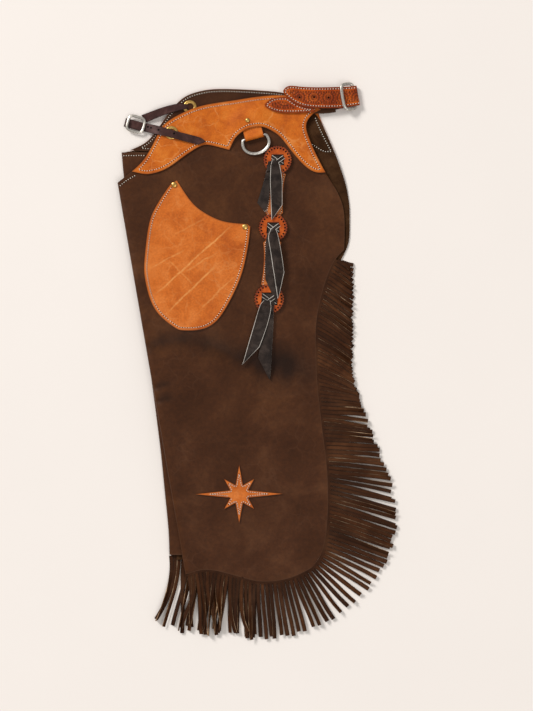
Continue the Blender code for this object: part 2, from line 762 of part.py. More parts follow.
def left_leg(material):
    edge, hem, waist = side_reader(LEFT_OUTER_EDGE), height_reader(LEFT_HEM), height_reader(LEFT_WAIST)
    spans = ((LEFT_HEM[0][0], LEFT_HEM[-1][0]), (LEFT_WAIST[0][0], LEFT_WAIST[-1][0]),
             (FOLD_FOOT[1], FOLD_TOP[1]), (LEFT_OUTER_EDGE[0][1], LEFT_OUTER_EDGE[-1][1]))
    grid = []
    for part_up in ROWS_UP:
        foot = panel_point(0.0, part_up, fold_x, edge, hem, waist, *spans)
        far = panel_point(1.0, part_up, fold_x, edge, hem, waist, *spans)
        low = table_value(TURN_IN_SECTIONS, foot.y, 1)
        bend_in = bend_radius(left_leg_top(foot.x, foot.y) - LEG_LEATHER / 2 - low)
        shoulder = panel_point(bend_in / (far.x - foot.x), part_up, fold_x, edge, hem, waist, *spans)
        high = left_leg_top(shoulder.x, shoulder.y) - LEG_LEATHER / 2
        row = []
        for part in TURN_IN_STEPS:
            reach = bend_in + (LEFT_TURN_IN - bend_in) * part
            row.append(Vector((foot.x + reach, foot.y, low)))
        for angle in FOLD_ANGLES:
            turn = math.radians(angle)
            inward = bend_in * (1.0 - math.sin(turn))
            y = foot.y + (shoulder.y - foot.y) * inward / bend_in
            row.append(Vector((foot.x + inward, y, (high + low) / 2 - (high - low) / 2 * math.cos(turn))))
        for part_across in ROWS_ACROSS:
            at = panel_point(part_across, part_up, fold_x, edge, hem, waist, *spans)
            row.append(Vector((at.x, at.y, left_leg_top(at.x, at.y) - LEG_LEATHER / 2)))
        grid.append(row)
    leg = shell("left_leg", grid, LEG_LEATHER, material)
    work = bmesh.new()
    work.from_mesh(leg.data)
    LAID_ON["left_leg"] = BVHTree.FromBMesh(work)
    work.free()
    return rim_of(grid)


def rim_of(grid):
    """The outer edge of a leg's mesh from its upper end down, then the hem back to the fold."""
    points = [row[-1] for row in reversed(grid)] + [grid[0][c] for c in range(len(grid[0]) - 2, 0, -1)]
    first_at_fold = len(grid) + len(ROWS_ACROSS)
    return [Vector(p[:2]) for p in points[:first_at_fold]]


def right_leg(material):
    fold, edge = side_reader(RIGHT_FOLD), side_reader(RIGHT_OUTER_EDGE)
    hem, waist = height_reader(RIGHT_HEM), height_reader(RIGHT_WAIST)
    spans = ((RIGHT_HEM[0][0], RIGHT_HEM[-1][0]), (RIGHT_WAIST[0][0], RIGHT_WAIST[-1][0]),
             (RIGHT_FOLD[0][1], RIGHT_FOLD[-1][1]), (RIGHT_OUTER_EDGE[0][1], RIGHT_OUTER_EDGE[-1][1]))
    grid = []
    for part_up in ROWS_UP:
        foot = panel_point(0.0, part_up, fold, edge, hem, waist, *spans)
        low = LEG_LEATHER / 2 + right_leg_raise(foot.y)
        high = table_value(TURN_IN_SECTIONS, foot.y, 2)
        bend_in = bend_radius(high - low)
        row = []
        for part in TURN_IN_STEPS:
            reach = bend_in + (RIGHT_TURN_IN - bend_in) * part
            row.append(Vector((foot.x + reach, foot.y, high)))
        for angle in FOLD_ANGLES:
            turn = math.radians(angle)
            inward = bend_in * (1.0 - math.sin(turn))
            row.append(Vector((foot.x + inward, foot.y, (high + low) / 2 + (high - low) / 2 * math.cos(turn))))
        for part_across in ROWS_ACROSS:
            at = panel_point(part_across, part_up, fold, edge, hem, waist, *spans)
            row.append(Vector((at.x, at.y, LEG_LEATHER / 2 + right_leg_raise(at.y))))
        grid.append(row)
    shell("right_leg", grid, LEG_LEATHER, material)
    return rim_of(grid)


CORE_CLEAR = 1.5
CORE_FOOT = 2.5
CORE_ROWS = [-355.0 + 28.0 * k for k in range(23)]
CORE_LOBE_FOOT = -300.0
CORE_LOBE_TOP = 240.0
CORE_LOBE_FADE = 60.0


def hidden_layers(material):
    """What lies folded inside both legs, with one lobe in the bend of each fold."""
    right_fold = side_reader(RIGHT_FOLD)
    sections = []
    for y in CORE_ROWS:
        turn_in_top = table_value(TURN_IN_SECTIONS, y, 1) + LEG_LEATHER / 2 + CORE_CLEAR
        turn_in_foot = table_value(TURN_IN_SECTIONS, y, 2) - LEG_LEATHER / 2 - CORE_CLEAR
        left_end = fold_x(y) + FOLD_RADIUS + 6.0
        right_end = table_value(LEG_SECTIONS, y, 4) - 44.0
        step_in = max(fold_x(y) + LEFT_TURN_IN, right_fold(y) + RIGHT_TURN_IN) + 3.0
        lobe = smooth((y - CORE_LOBE_FOOT) / CORE_LOBE_FADE) * smooth((CORE_LOBE_TOP - y) / CORE_LOBE_FADE)
        left_end = (step_in + 2.0) * (1.0 - lobe) + left_end * lobe
        low_end = right_fold(y) + FOLD_RADIUS + 4.0

        def under(x):
            lowest = min(left_leg_top(x, y + step) for step in (-18, -9, 0, 9, 18))
            return Vector((x, y, lowest - LEG_LEATHER - CORE_CLEAR))

        top_left = under(left_end + 4.0)
        step_top = min(turn_in_top, under(step_in).z - 1.0)
        section = [Vector((right_end, y, CORE_FOOT)), Vector((low_end, y, CORE_FOOT)),
                   Vector((low_end, y, turn_in_foot)), Vector((step_in, y, turn_in_foot)),
                   Vector((step_in, y, step_top)),
                   Vector((left_end, y, max(min(turn_in_top, top_left.z - 0.6), step_top + 0.1))), top_left]
        for part in (0.12, 0.26, 0.42, 0.58, 0.74, 0.88):
            section.append(under(left_end + (right_end - left_end) * part))
        edge_top = under(right_end)
        section.append(Vector((right_end, y, max(edge_top.z, CORE_FOOT + 0.5))))
        sections.append(section)
    return tube_of_sections("hidden_layers", sections, material)


# Fringe


def bend(start, leave, end, part):
    """A point of the gently bent line of a strand."""
    middle = start + leave
    return start * (1 - part) ** 2 + middle * (2 * part * (1 - part)) + end * part ** 2


def run_beside(rim, run, place):
    """How far along a rim its nearest point to a place lies."""
    best = (math.inf, 0.0)
    for k in range(len(rim) - 1):
        side = rim[k + 1] - rim[k]
        part = min(max((place - rim[k]).dot(side) / side.length_squared, 0.0), 1.0)
        best = min(best, ((rim[k] + side * part - place).length, run[k] + side.length * part))
    return best[1]


def rim_places(rim, start, end, count):
    """Evenly spaced places along part of a leg's rim, one of them on each sharp turn of it."""
    run = [0.0]
    for a, b in zip(rim, rim[1:]):
        run.append(run[-1] + (b - a).length)
    first, last = run_beside(rim, run, Vector(start)), run_beside(rim, run, Vector(end))
    pitch = (last - first) / count
    goals = [first + (k + 0.5) * pitch for k in range(count)]
    for k in [k for k in range(1, len(rim) - 1) if first < run[k] < last]:
        turn = (rim[k] - rim[k - 1]).angle_signed(rim[k + 1] - rim[k])
        if abs(turn) > math.radians(9.0):
            near = min(range(count), key=lambda g: abs(goals[g] - run[k]))
            goals[near] = run[k]
    places = []
    for goal in goals:
        at = next(k for k in range(len(rim) - 1) if run[k + 1] >= goal - 1e-6)
        root = rim[at].lerp(rim[at + 1], (goal - run[at]) / (run[at + 1] - run[at]))
        here = (rim[at + 1] - rim[at]).normalized()
        ahead = here
        if abs(goal - run[at + 1]) < 1e-6 and at + 2 < len(rim):
            ahead = (rim[at + 2] - rim[at + 1]).normalized()
        along = (here + ahead).normalized()
        places.append((root, along, 1.0 / max(along.dot(here), 0.5)))
    return places, pitch


def fringe(name, rim, rows, count, edge_height, tip_height, steps, material):
    """A narrow backing strip with a row of separate strands, all one piece."""
    places, pitch = rim_places(rim, rows[0][:2], rows[-1][:2], count)
    tips = [(r[2], r[3]) for r in rows]
    marks = [(i, k / 24) for i in range(len(rows) - 1) for k in range(25)]
    line = [(curve_point(rows_of_roots(rows), i, part, False), i, part) for i, part in marks]
    strands = []
    for root, along, stretch in places:
        _, i, part = min(line, key=lambda mark: (mark[0] - root).length)
        tip = curve_point(tips, i, part, False)
        out = Vector((along.y, -along.x))
        out = out if out.dot(tip - root) > 0 else -out
        start = root + out * (EDGE_GAP * stretch + STRIP_WIDTH)
        reach = tip - start
        leave = (out * 0.5 + reach.normalized() * 0.5).normalized() * reach.length * 0.42
        strands.append((root, along, out, stretch, (start, leave, tip)))
    points, faces, rings = [], [], []
    for index, (root, along, out, stretch, (start, leave, end)) in enumerate(strands):
        low = edge_height(root.x, root.y)
        base = len(points)
        inner = root + out * (EDGE_GAP * stretch)
        points += [(inner.x, inner.y, low), (inner.x, inner.y, low + LEG_LEATHER)]
        ring = []
        for step in range(steps + 1):
            part = step / steps
            at = bend(start, leave, end, part)
            side = along
            if step:
                heading = (end - start).lerp(end - (start + leave), part).normalized()
                side = Vector((-heading.y, heading.x))
                side = side if side.dot(along) > 0 else -side
            spaces = [abs((bend(*strands[other][4], part) - at).dot(side))
                      for other in (index - 1, index + 1) if 0 <= other < count]
            half = min(STRAND_WIDTH, STRAND_FILL * min(spaces)) / 2
            under = tip_height + (low - tip_height) * (1.0 - part) ** 2
            over = under + (LEG_LEATHER if step == 0 else STRAND_LEATHER)
            ring.append(len(points))
            for sign, height in ((-1, under), (1, under), (1, over), (-1, over)):
                corner = at + side * (sign * half)
                points.append((corner.x, corner.y, height))
        rings.append((base, ring))
        for near, far in zip(ring, ring[1:]):
            faces += [[near + k, near + (k + 1) % 4, far + (k + 1) % 4, far + k] for k in range(4)]
        faces.append([ring[-1] + k for k in range(4)])
        faces.append([base, ring[0], ring[0] + 1])
        faces.append([base + 1, ring[0] + 3, ring[0] + 2])
    for (base, ring), (next_base, next_ring) in zip(rings, rings[1:]):
        near, far = ring[0], next_ring[0]
        faces.append([base, near + 1, far, next_base])
        faces.append([base + 1, near + 2, far + 3, next_base + 1])
        faces.append([base, base + 1, next_base + 1, next_base])
        faces.append([near + 1, near + 2, far + 3, far])
    first_base, first_ring = rings[0]
    last_base, last_ring = rings[-1]
    faces.append([first_base, first_base + 1, first_ring[0] + 3, first_ring[0]])
    faces.append([last_base, last_base + 1, last_ring[0] + 2, last_ring[0] + 1])
    return add_object(name, points, faces, material)


def rows_of_roots(rows):
    return [(r[0], r[1]) for r in rows]


# Leg-tie strap, rosettes and ties


def lobe_half(y):
    """Half width of the tie strap at a height: round at each rosette, narrow between them."""
    half = STRAP_WAIST
    for _, _, centre_y, _, _, _ in ROSETTES:
        away = abs(y - centre_y)
        if away < STRAP_LOBE:
            half = max(half, math.sqrt(STRAP_LOBE ** 2 - away ** 2))
        else:
            half = max(half, STRAP_WAIST + 4.0 * math.exp(-(away - STRAP_LOBE) / 12.0))
    return half


def strap_axis_x(y):
    rows = [(r[2], r[1]) for r in reversed(ROSETTES)]
    if y >= rows[-1][0]:
        return rows[-1][1]
    return line_value(rows, y)


def tie_strap(material):
    top, foot = ROSETTES[0][2] + STRAP_LOBE, ROSETTES[-1][2] - STRAP_LOBE
    right, left = [], []
    y = foot
    while y <= top:
        half = lobe_half(y) if foot + 0.5 < y < top - 0.5 else 3.0
        right.append(Vector((strap_axis_x(y) + half, y)))
        left.append(Vector((strap_axis_x(y) - half, y)))
        y += 3.0
    outline = thin_out(right + left[::-1], 0.4, 24.0)
    return slab("tie_strap", outline, strap_bottom, STRAP_LEATHER, material, 18.0,
                [window(r[1], r[2], r[4] + 1.0, r[5] + 1.0) for r in ROSETTES])


def strap_bottom(x, y):
    return leg_surface(x, y) + LAID_GAP


def window(x, y, half_width, half_height):
    return [Vector((x + sx * half_width * narrow, y + sy * half_height))
            for sx, sy, narrow in ((-1, -1, 1.0), (1, -1, 1.0), (1, 1, 0.86), (-1, 1, 0.86))]


def rosette(name, x, y, radius, half_width, half_height, material):
    outline = [Vector((x + radius * math.cos(2 * math.pi * k / ROSETTE_SIDES),
                       y + radius * math.sin(2 * math.pi * k / ROSETTE_SIDES))) for k in range(ROSETTE_SIDES)]

    def lower(at_x, at_y):
        return strap_bottom(at_x, at_y) + STRAP_LEATHER + 0.4

    return slab(name, outline, lower, ROSETTE_LEATHER, material, 12.0, [window(x, y, half_width, half_height)])


KNOT_HALF_WIDTH = 9.5
KNOT_HALF_HEIGHT = 7.0


def tie(name, tails, material):
    """A lace with its knot in the window and two flat tails, joined into one piece."""
    x, y = tails["knot"]
    foot = leg_surface(x, y) + LAID_GAP + 0.3
    over_rosette = STRAP_LEATHER + LAID_GAP + ROSETTE_LEATHER + LAID_GAP

    def carried(extra):
        def lower(at_x, at_y):
            return leg_surface(at_x, at_y) + LAID_GAP + over_rosette + extra
        return lower

    knot = turned(name, (x, y, foot), [(0.0, 0.0), (KNOT_HALF_HEIGHT - 1.0, 0.0), (KNOT_HALF_HEIGHT, 2.5),
                                       (KNOT_HALF_HEIGHT, over_rosette + 3.0), (4.5, over_rosette + 5.2),
                                       (0.0, over_rosette + 5.6)], material, 14)
    knot.data.transform(stretch_about(x, y, KNOT_HALF_WIDTH / KNOT_HALF_HEIGHT))
    back = strip(name + "_back", [knot_row(tails, "back", carried(0.0))] + laid_rows(tails["back"], carried(0.0)),
                 LACE_LEATHER, material)
    front_low = carried(LACE_LEATHER + SEAM_GAP)
    front = strip(name + "_front", [knot_row(tails, "front", front_low)] + laid_rows(tails["front"], front_low),
                  LACE_LEATHER, material)
    return joined(knot, back, front)


def stretch_about(x, y, factor):
    to = Matrix.Translation((x * MM, y * MM, 0.0))
    return to @ Matrix.Diagonal((factor, 1.0, 1.0, 1.0)) @ to.inverted()


def knot_row(tails, which, lower):
    x, y = tails["knot"]
    shift = -4.0 if which == "back" else 0.0
    return (Vector((x - 4.0 + shift, y - 2.0, lower(x, y))), Vector((x + 4.0 + shift, y - 2.0, lower(x, y))))


# Ring, keeper, belt and front strap


def dee_height():
    x, y = DEE_PLACE
    return left_leg_top(x, y) + LAID_GAP + KEEPER_LEATHER + 0.4 + DEE_WIRE


def dee_ring(material):
    """The dee lies with its bar level in the keeper and its bow resting just above the leg."""
    along, out = dee_along(), dee_out()
    shape = [(DEE_BAR_HALF * part, 0.0) for part in (-1.0, -0.33, 0.33, 1.0)]
    corner = DEE_HALF_WIDTH - DEE_BAR_HALF
    for angle in (30, 60):
        turn = math.radians(angle)
        shape.append((DEE_BAR_HALF + corner * math.sin(turn), DEE_SHOULDER * (1 - math.cos(turn))))
    for k in range(13):
        turn = math.pi * k / 12
        shape.append((DEE_HALF_WIDTH * math.cos(turn), DEE_SHOULDER + (DEE_DROP - DEE_SHOULDER) * math.sin(turn)))
    for angle in (60, 30):
        turn = math.radians(angle)
        shape.append((-DEE_BAR_HALF - corner * math.sin(turn), DEE_SHOULDER * (1 - math.cos(turn))))
    bar = Vector((*DEE_PLACE, dee_height()))
    far = Vector(DEE_PLACE) + out * DEE_DROP
    rest = left_leg_top(far.x, far.y) + 0.8 + DEE_WIRE
    slope = (rest - bar.z) / DEE_DROP
    path = [bar + Vector((*(along * u + out * v), slope * v)) for u, v in shape]
    return wire("dee_ring", path, DEE_WIRE, material, 8, bar)


def ring_keeper(material):
    """A strap folded round the bar of the dee, both ends beneath the yoke."""
    along, out = dee_along(), dee_out()
    bar_z = dee_height()
    clear = DEE_WIRE + 0.4
    lower_z = bar_z - clear - KEEPER_LEATHER
    inner = [(-KEEPER_TAIL, lower_z + KEEPER_LEATHER), (-6.0, lower_z + KEEPER_LEATHER)]
    for angle in range(-90, 91, 30):
        turn = math.radians(angle)
        inner.append((clear * math.cos(turn), bar_z + clear * math.sin(turn)))
    inner += [(-3.0, bar_z + clear - 0.6), (-11.0, lower_z + KEEPER_LEATHER * 1.0 + SEAM_GAP + 0.1),
              (-KEEPER_TAIL, lower_z + KEEPER_LEATHER + SEAM_GAP)]
    rows = []
    for v, z in inner:
        middle = Vector(DEE_PLACE) + out * v
        edge = along * KEEPER_HALF
        rows.append((Vector((*(middle + edge), z)), Vector((*(middle - edge), z))))
    return strip("ring_keeper", rows, KEEPER_LEATHER, material, False)


def back_belt(material):
    """Billet, base and underlay, sewn to one another."""
    base = strip("back_belt_base", level_rows(BASE_ROWS), BELT_LEATHER, material)
    underlay = strip("back_belt_underlay", level_rows(UNDERLAY_ROWS), STRAP_LEATHER, material)
    return joined(billet(material), base, underlay)


def billet(material):
    rows = level_rows(BILLET_ROWS)
    left, right = rows[-1]
    across = (left - right).normalized()
    heading = Vector((across.y, -across.x, 0.0))
    left, right = left.copy(), right.copy()
    rows += turned_rows(left, right, heading, BILLET_TURN - BELT_LEATHER / 2, BILLET_RETURN)
    return strip("back_belt", rows, BELT_LEATHER, material)


def belt_loop(material):
    left, right = level_rows(BILLET_ROWS)[-1]
    across = (left - right).normalized()
    heading = Vector((across.y, -across.x, 0.0))
    centre = Vector((*LOOP_CENTRE, (LOOP_LOW + LOOP_HIGH) / 2))
    slope = (LOOP_LOW - LOOP_HIGH) / (2 * LOOP_HALF_SHORT)
    path = []
    for k in range(28):
        turn = 2 * math.pi * k / 28
        short = math.copysign(abs(math.cos(turn)) ** (2 / LOOP_SQUARENESS), math.cos(turn)) * LOOP_HALF_SHORT
        far = math.copysign(abs(math.sin(turn)) ** (2 / LOOP_SQUARENESS), math.sin(turn)) * LOOP_HALF_LONG
        path.append(centre + heading * short + across * far + Vector((0, 0, slope * short)))
    return wire("belt_loop", path, LOOP_WIRE, material, 8)


def strap_tongue(material):
    rows = level_rows(STRAP_TONGUE_ROWS)
    left, right = rows[0]
    across = (left - right).normalized()
    heading = Vector((-across.y, across.x, 0.0))
    start = turned_rows(left, right, heading, TONGUE_TURN - STRAP_LEATHER / 2, TONGUE_RETURN)
    return strip("strap_tongue", start[::-1] + rows, STRAP_LEATHER, material, False)


def strap_buckle(material):
    turn = math.radians(BUCKLE_TURN_DEG)
    along, across = Vector((math.cos(turn), math.sin(turn), 0.0)), Vector((-math.sin(turn), math.cos(turn), 0.0))
    centre = Vector((*BUCKLE_CENTRE, BUCKLE_HEIGHT))
    path = []
    for k in range(24):
        angle = 2 * math.pi * (k + 0.5) / 24
        far = math.copysign(abs(math.cos(angle)) ** 0.5, math.cos(angle)) * BUCKLE_HALF_LONG
        near = math.copysign(abs(math.sin(angle)) ** 0.5, math.sin(angle)) * BUCKLE_HALF_SHORT
        path.append(centre + along * far + across * near)
    return wire("strap_buckle", path, BUCKLE_WIRE, material, 8)


def seat(place, radius, surface):
    """The height at which a round piece clears the surface beneath it all round."""
    heights = [surface(*place)]
    for k in range(12):
        angle = 2 * math.pi * k / 12
        heights.append(surface(place[0] + radius * math.cos(angle), place[1] + radius * math.sin(angle)))
    return max(heights) + SEAM_GAP + 0.1


def grommet(name, place, foot, material):
    profile = [(GROMMET_HOLE, 0.0), (GROMMET_RADIUS, 0.0), (GROMMET_RADIUS - 0.6, 0.9),
               ((GROMMET_RADIUS + GROMMET_HOLE) / 2, 1.6), (GROMMET_HOLE + 0.5, 1.0)]
    return turned(name, (*place, foot), profile, material, 22)


def rivet(name, place, radius, foot, material):
    profile = [(0.0, 0.0), (radius, 0.0), (radius * 0.92, 1.0), (radius * 0.6, 1.9), (0.0, 2.2)]
    return turned(name, (*place, foot), profile, material, 14)


# Appliqué


def star(material):
    x, y = STAR_PLACE
    outline = []
    for k in range(16):
        angle = math.pi * k / 8
        radius = STAR_WAIST
        if k % 8 == 0:
            radius = STAR_SIDE_POINT
        elif k % 8 == 4:
            radius = STAR_UP_POINT
        elif k % 2 == 0:
            radius = STAR_SLANT_POINT
        outline.append(Vector((x + radius * math.cos(angle), y + radius * math.sin(angle))))
    return slab("star_patch", outline, strap_bottom, POCKET_LEATHER, material, 16.0)


# The whole garment


def left_edge_bottom(x, y):
    return left_leg_top(x, y) - LEG_LEATHER


def floor_level(x, y):
    return 0.0


def build():
    for old in list(bpy.data.objects):
        bpy.data.objects.remove(old)

    dark = leather("dark_leather", (0.060, 0.030, 0.020), 0.62)
    suede = leather("flesh_side", (0.085, 0.050, 0.034), 0.9)
    tan = leather("tan_leather", (0.50, 0.19, 0.05), 0.55)
    red_brown = leather("tooled_leather", (0.33, 0.085, 0.022), 0.45)
    lace = leather("lace_leather", (0.030, 0.026, 0.028), 0.6)
    burgundy = leather("strap_leather", (0.060, 0.032, 0.034), 0.5)
    nickel = metal("nickel", (0.80, 0.77, 0.72), 0.2)
    brass = metal("brass", (0.80, 0.56, 0.22), 0.25)

    left_rim = left_leg(dark)
    right_rim = right_leg(dark)
    hidden_layers(suede)
    slab("left_yoke", outline_points(YOKE_OUTLINE), yoke_bottom, YOKE_LEATHER, tan, 17.0)
    slab("right_yoke", outline_points(RIGHT_YOKE_OUTLINE, 0.5, 60.0), lambda x, y: 0.0, YOKE_LEATHER, tan)
    liner_foot = LEG_LEATHER + RAISE_HEIGHT + SEAM_GAP
    slab("right_yoke_liner", outline_points(LINER_OUTLINE, 0.5, 60.0), lambda x, y: liner_foot, LINER_LEATHER,
         dark)
    slab("pocket", outline_points(POCKET_OUTLINE), strap_bottom, POCKET_LEATHER, tan, 24.0)
    for name, x, y in RIVETS:
        rivet(name, (x, y), RIVET_RADIUS, seat((x, y), RIVET_RADIUS, pocket_top), brass)
    rivet("yoke_stud", STUD_PLACE, STUD_RADIUS, seat(STUD_PLACE, STUD_RADIUS, yoke_top), brass)
    ring_keeper(tan)
    dee_ring(nickel)

    tie_strap(tan)
    for name, *sizes in ROSETTES:
        rosette(name, *sizes, red_brown)
    for name, tails in TIE_TAILS.items():
        tie(name, tails, lace)

    back_belt(red_brown)
    belt_loop(nickel)
    strip("strap_upper", level_rows(STRAP_UPPER_ROWS), STRAP_LEATHER, burgundy)
    strap_tongue(burgundy)
    strap_buckle(nickel)
    grommet("grommet_upper", GROMMET_UPPER_PLACE, liner_foot + LINER_LEATHER + SEAM_GAP, brass)
    grommet("grommet_lower", GROMMET_LOWER_PLACE, seat(GROMMET_LOWER_PLACE, GROMMET_RADIUS, yoke_top), brass)

    star(tan)

    fringe("left_fringe", left_rim, LEFT_FRINGE, LEFT_STRANDS, left_edge_bottom, 2.5, 3, dark)
    fringe("right_side_fringe", right_rim, RIGHT_SIDE_FRINGE, RIGHT_SIDE_STRANDS, floor_level, 0.3, 2, dark)
    fringe("right_hem_fringe", right_rim, RIGHT_HEM_FRINGE[::-1], RIGHT_HEM_STRANDS, floor_level, 0.3, 3, dark)


build()
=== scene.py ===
"""Leather chaps, folded in half and lying flat: the looks of every piece, put together from the bottom up."""

import json
import math
import random

import bmesh
import bpy
from mathutils import Matrix, Vector, noise
from mathutils.bvhtree import BVHTree
from mathutils.geometry import delaunay_2d_cdt
from mathutils.kdtree import KDTree


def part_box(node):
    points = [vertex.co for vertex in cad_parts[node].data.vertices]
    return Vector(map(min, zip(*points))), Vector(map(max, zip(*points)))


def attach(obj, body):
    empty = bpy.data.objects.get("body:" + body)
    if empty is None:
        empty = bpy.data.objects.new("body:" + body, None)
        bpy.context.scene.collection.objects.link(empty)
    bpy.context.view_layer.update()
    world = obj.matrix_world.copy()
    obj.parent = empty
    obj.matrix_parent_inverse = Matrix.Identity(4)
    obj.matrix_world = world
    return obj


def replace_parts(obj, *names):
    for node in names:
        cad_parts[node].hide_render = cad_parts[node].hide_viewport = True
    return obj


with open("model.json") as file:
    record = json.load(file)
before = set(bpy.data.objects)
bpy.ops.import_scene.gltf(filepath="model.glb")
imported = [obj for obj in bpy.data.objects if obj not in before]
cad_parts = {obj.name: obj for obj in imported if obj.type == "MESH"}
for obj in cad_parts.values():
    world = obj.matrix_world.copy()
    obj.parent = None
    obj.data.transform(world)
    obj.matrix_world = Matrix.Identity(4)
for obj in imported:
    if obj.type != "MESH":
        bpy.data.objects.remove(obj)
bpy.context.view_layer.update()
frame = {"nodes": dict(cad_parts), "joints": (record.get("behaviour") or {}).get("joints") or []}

# Right yoke: tan pull-up leather, cut to the same pattern as the left one and sewn to the right leg.
# It lies face down on the surface, so only its underside and cut edge can be seen.
MM = 0.001
TAN = {"deep": (0.36, 0.071, 0.004), "mid": (0.48, 0.108, 0.006), "pale": (0.55, 0.148, 0.015),
       "rubbed": (0.68, 0.27, 0.075)}
TAN_EDGE = (0.22, 0.052, 0.009)


def add_node(tree, kind, settings=(), **inputs):
    """A shader node with its settings made and its inputs set or linked."""
    made = tree.nodes.new(kind)
    for key, value in dict(settings).items():
        setattr(made, key, value)
    for label, value in inputs.items():
        socket = made.inputs[int(label[1:])] if label[1:].isdigit() else made.inputs[label.replace("_", " ")]
        if isinstance(value, bpy.types.NodeSocket):
            tree.links.new(value, socket)
        else:
            socket.default_value = value
    return made


def new_finish(name, roughness):
    """An empty finish: its material, its node tree, its shader and the place on the piece."""
    material = bpy.data.materials.new(name)
    material.use_nodes = True
    tree = material.node_tree
    shader = tree.nodes["Principled BSDF"]
    shader.inputs["Roughness"].default_value = roughness
    place = tree.nodes.new("ShaderNodeTexCoord").outputs["Object"]
    return material, tree, shader, place


def colour_steps(tree, factor, steps):
    """A ramp through (position, colour) steps."""
    ramp = add_node(tree, "ShaderNodeValToRGB", i0=factor)
    while len(ramp.color_ramp.elements) < len(steps):
        ramp.color_ramp.elements.new(0.5)
    for element, (position, colour) in zip(ramp.color_ramp.elements, steps):
        element.position = position
        element.color = (*colour, 1.0)
    return ramp.outputs["Color"]


def mixed(tree, factor, first, second, blend="MIX"):
    mix = add_node(tree, "ShaderNodeMix", {"data_type": "RGBA", "blend_type": blend})
    for socket, value in (("Factor", factor), ("A", first), ("B", second)):
        target = [s for s in mix.inputs if s.name == socket and (s.type == "RGBA" or socket == "Factor")][0]
        if isinstance(value, bpy.types.NodeSocket):
            tree.links.new(value, target)
        else:
            target.default_value = value if socket == "Factor" else (*value, 1.0)
    return [s for s in mix.outputs if s.type == "RGBA"][0]


def mottle(tree, place, scale, detail=4.0, rough=0.6, warp=0.0):
    return add_node(tree, "ShaderNodeTexNoise", i0=place, Scale=scale, Detail=detail, Roughness=rough,
                    Distortion=warp).outputs["Fac"]


def ranged(tree, value, low, high, to_low, to_high):
    made = add_node(tree, "ShaderNodeMapRange", i0=value)
    for index, number in enumerate((low, high, to_low, to_high), start=1):
        made.inputs[index].default_value = number
    return made.outputs["Result"]


def calculated(tree, operation, first, second=0.0):
    return add_node(tree, "ShaderNodeMath", {"operation": operation}, i0=first, i1=second).outputs[0]


def bumped(tree, shader, height, depth, strength=1.0, under=None):
    """Relief of a real depth in metres on the shader's normal, over any relief it already has."""
    bump = add_node(tree, "ShaderNodeBump", Strength=strength, Distance=depth, Height=height)
    if shader.inputs["Normal"].is_linked:
        tree.links.new(shader.inputs["Normal"].links[0].from_socket, bump.inputs["Normal"])
    tree.links.new(bump.outputs["Normal"], shader.inputs["Normal"])


def leather(name, shades, patch, grain, depth, rough, edge=None, contrast=0.13, dark_tone_and_shade=None,
            gloss=0.16, veins=0.0):
    """Grain-side leather: clouded colour, a fine pebbled grain, a darker or paler cut edge (burnished on most pieces,
    painted shade along fringe strands' margins) and, where marked, darker tone mixed with painted shade, as in the knee
    creases.
    """
    material, tree, shader, place = new_finish(name, rough[0])
    cloud = mottle(tree, place, patch, 5.0, 0.62, 0.4)
    base = colour_steps(tree, cloud, [(0.5 - contrast, shades["deep"]), (0.5, shades["mid"]),
                                      (0.5 + contrast, shades["pale"])])
    speck = mottle(tree, place, patch * 14.0, 3.0, 0.7)
    base = mixed(tree, 0.35, base, colour_steps(tree, speck, [(0.3, (0.28, 0.28, 0.28)), (0.7, (0.78, 0.78, 0.78))]),
                 "OVERLAY")
    if veins:
        warped = add_node(tree, "ShaderNodeTexNoise", i0=place, Scale=24.0, Detail=4.0).outputs["Color"]
        spread = add_node(tree, "ShaderNodeVectorMath", {"operation": "SCALE"}, i0=warped, Scale=0.05).outputs[0]
        spot = add_node(tree, "ShaderNodeVectorMath", {"operation": "ADD"}, i0=place, i1=spread).outputs[0]
        lines = add_node(tree, "ShaderNodeTexVoronoi", {"feature": "DISTANCE_TO_EDGE"}, i0=spot, Scale=30.0).outputs[0]
        rubbed = calculated(tree, "MULTIPLY", ranged(tree, lines, 0.0, 0.05, veins, 0.0),
                            ranged(tree, mottle(tree, place, 18.0), 0.45, 0.62, 0.0, 1.0))
        base = mixed(tree, rubbed, base, shades["rubbed"])
    # Darker where the marked share says: random darker tone on fringe strands and the liner, painted shade with some
    # darker leather along the left leg's knee creases.
    if dark_tone_and_shade:
        tone_and_shade_share = add_node(tree, "ShaderNodeAttribute", {"attribute_name": "dark_tone_and_shade"}).outputs["Fac"]
        base = mixed(tree, ranged(tree, tone_and_shade_share, 0.0, 1.0, 0.0, 0.8), base, dark_tone_and_shade)
    # Towards the cut edge the colour turns to the edge colour: burnished edges on most pieces, painted shade along each
    # fringe strand's margins.
    if edge:
        edge_wear_and_shade = add_node(tree, "ShaderNodeAttribute", {"attribute_name": "edge"}).outputs["Fac"]
        base = mixed(tree, ranged(tree, edge_wear_and_shade, 0.0, 0.45, 0.85, 0.0), base, edge)
    tree.links.new(base, shader.inputs["Base Color"])
    tree.links.new(ranged(tree, cloud, 0.35, 0.65, rough[1], rough[0]), shader.inputs["Roughness"])
    shader.inputs["Specular IOR Level"].default_value = gloss
    pebble = add_node(tree, "ShaderNodeTexVoronoi", {"feature": "SMOOTH_F1"}, i0=place, Scale=grain).outputs["Distance"]
    fine = mottle(tree, place, grain * 0.45, 4.0, 0.7)
    bumped(tree, shader, calculated(tree, "ADD", calculated(tree, "MULTIPLY", pebble, 0.6), fine), depth, 0.7)
    return material, tree, shader, place, cloud


def dressed(node, material):
    """A CAD piece whose shape is right, with its real finish."""
    piece = frame["nodes"][node]
    for face in piece.data.polygons:
        face.use_smooth = True
    piece.data.set_sharp_from_angle(angle=0.6)
    piece.data.materials.clear()
    piece.data.materials.append(material)
    return piece


tan = leather("tan_leather", TAN, 38.0, 900.0, 0.00022, (0.46, 0.60), TAN_EDGE, 0.17, veins=0.6)[0]

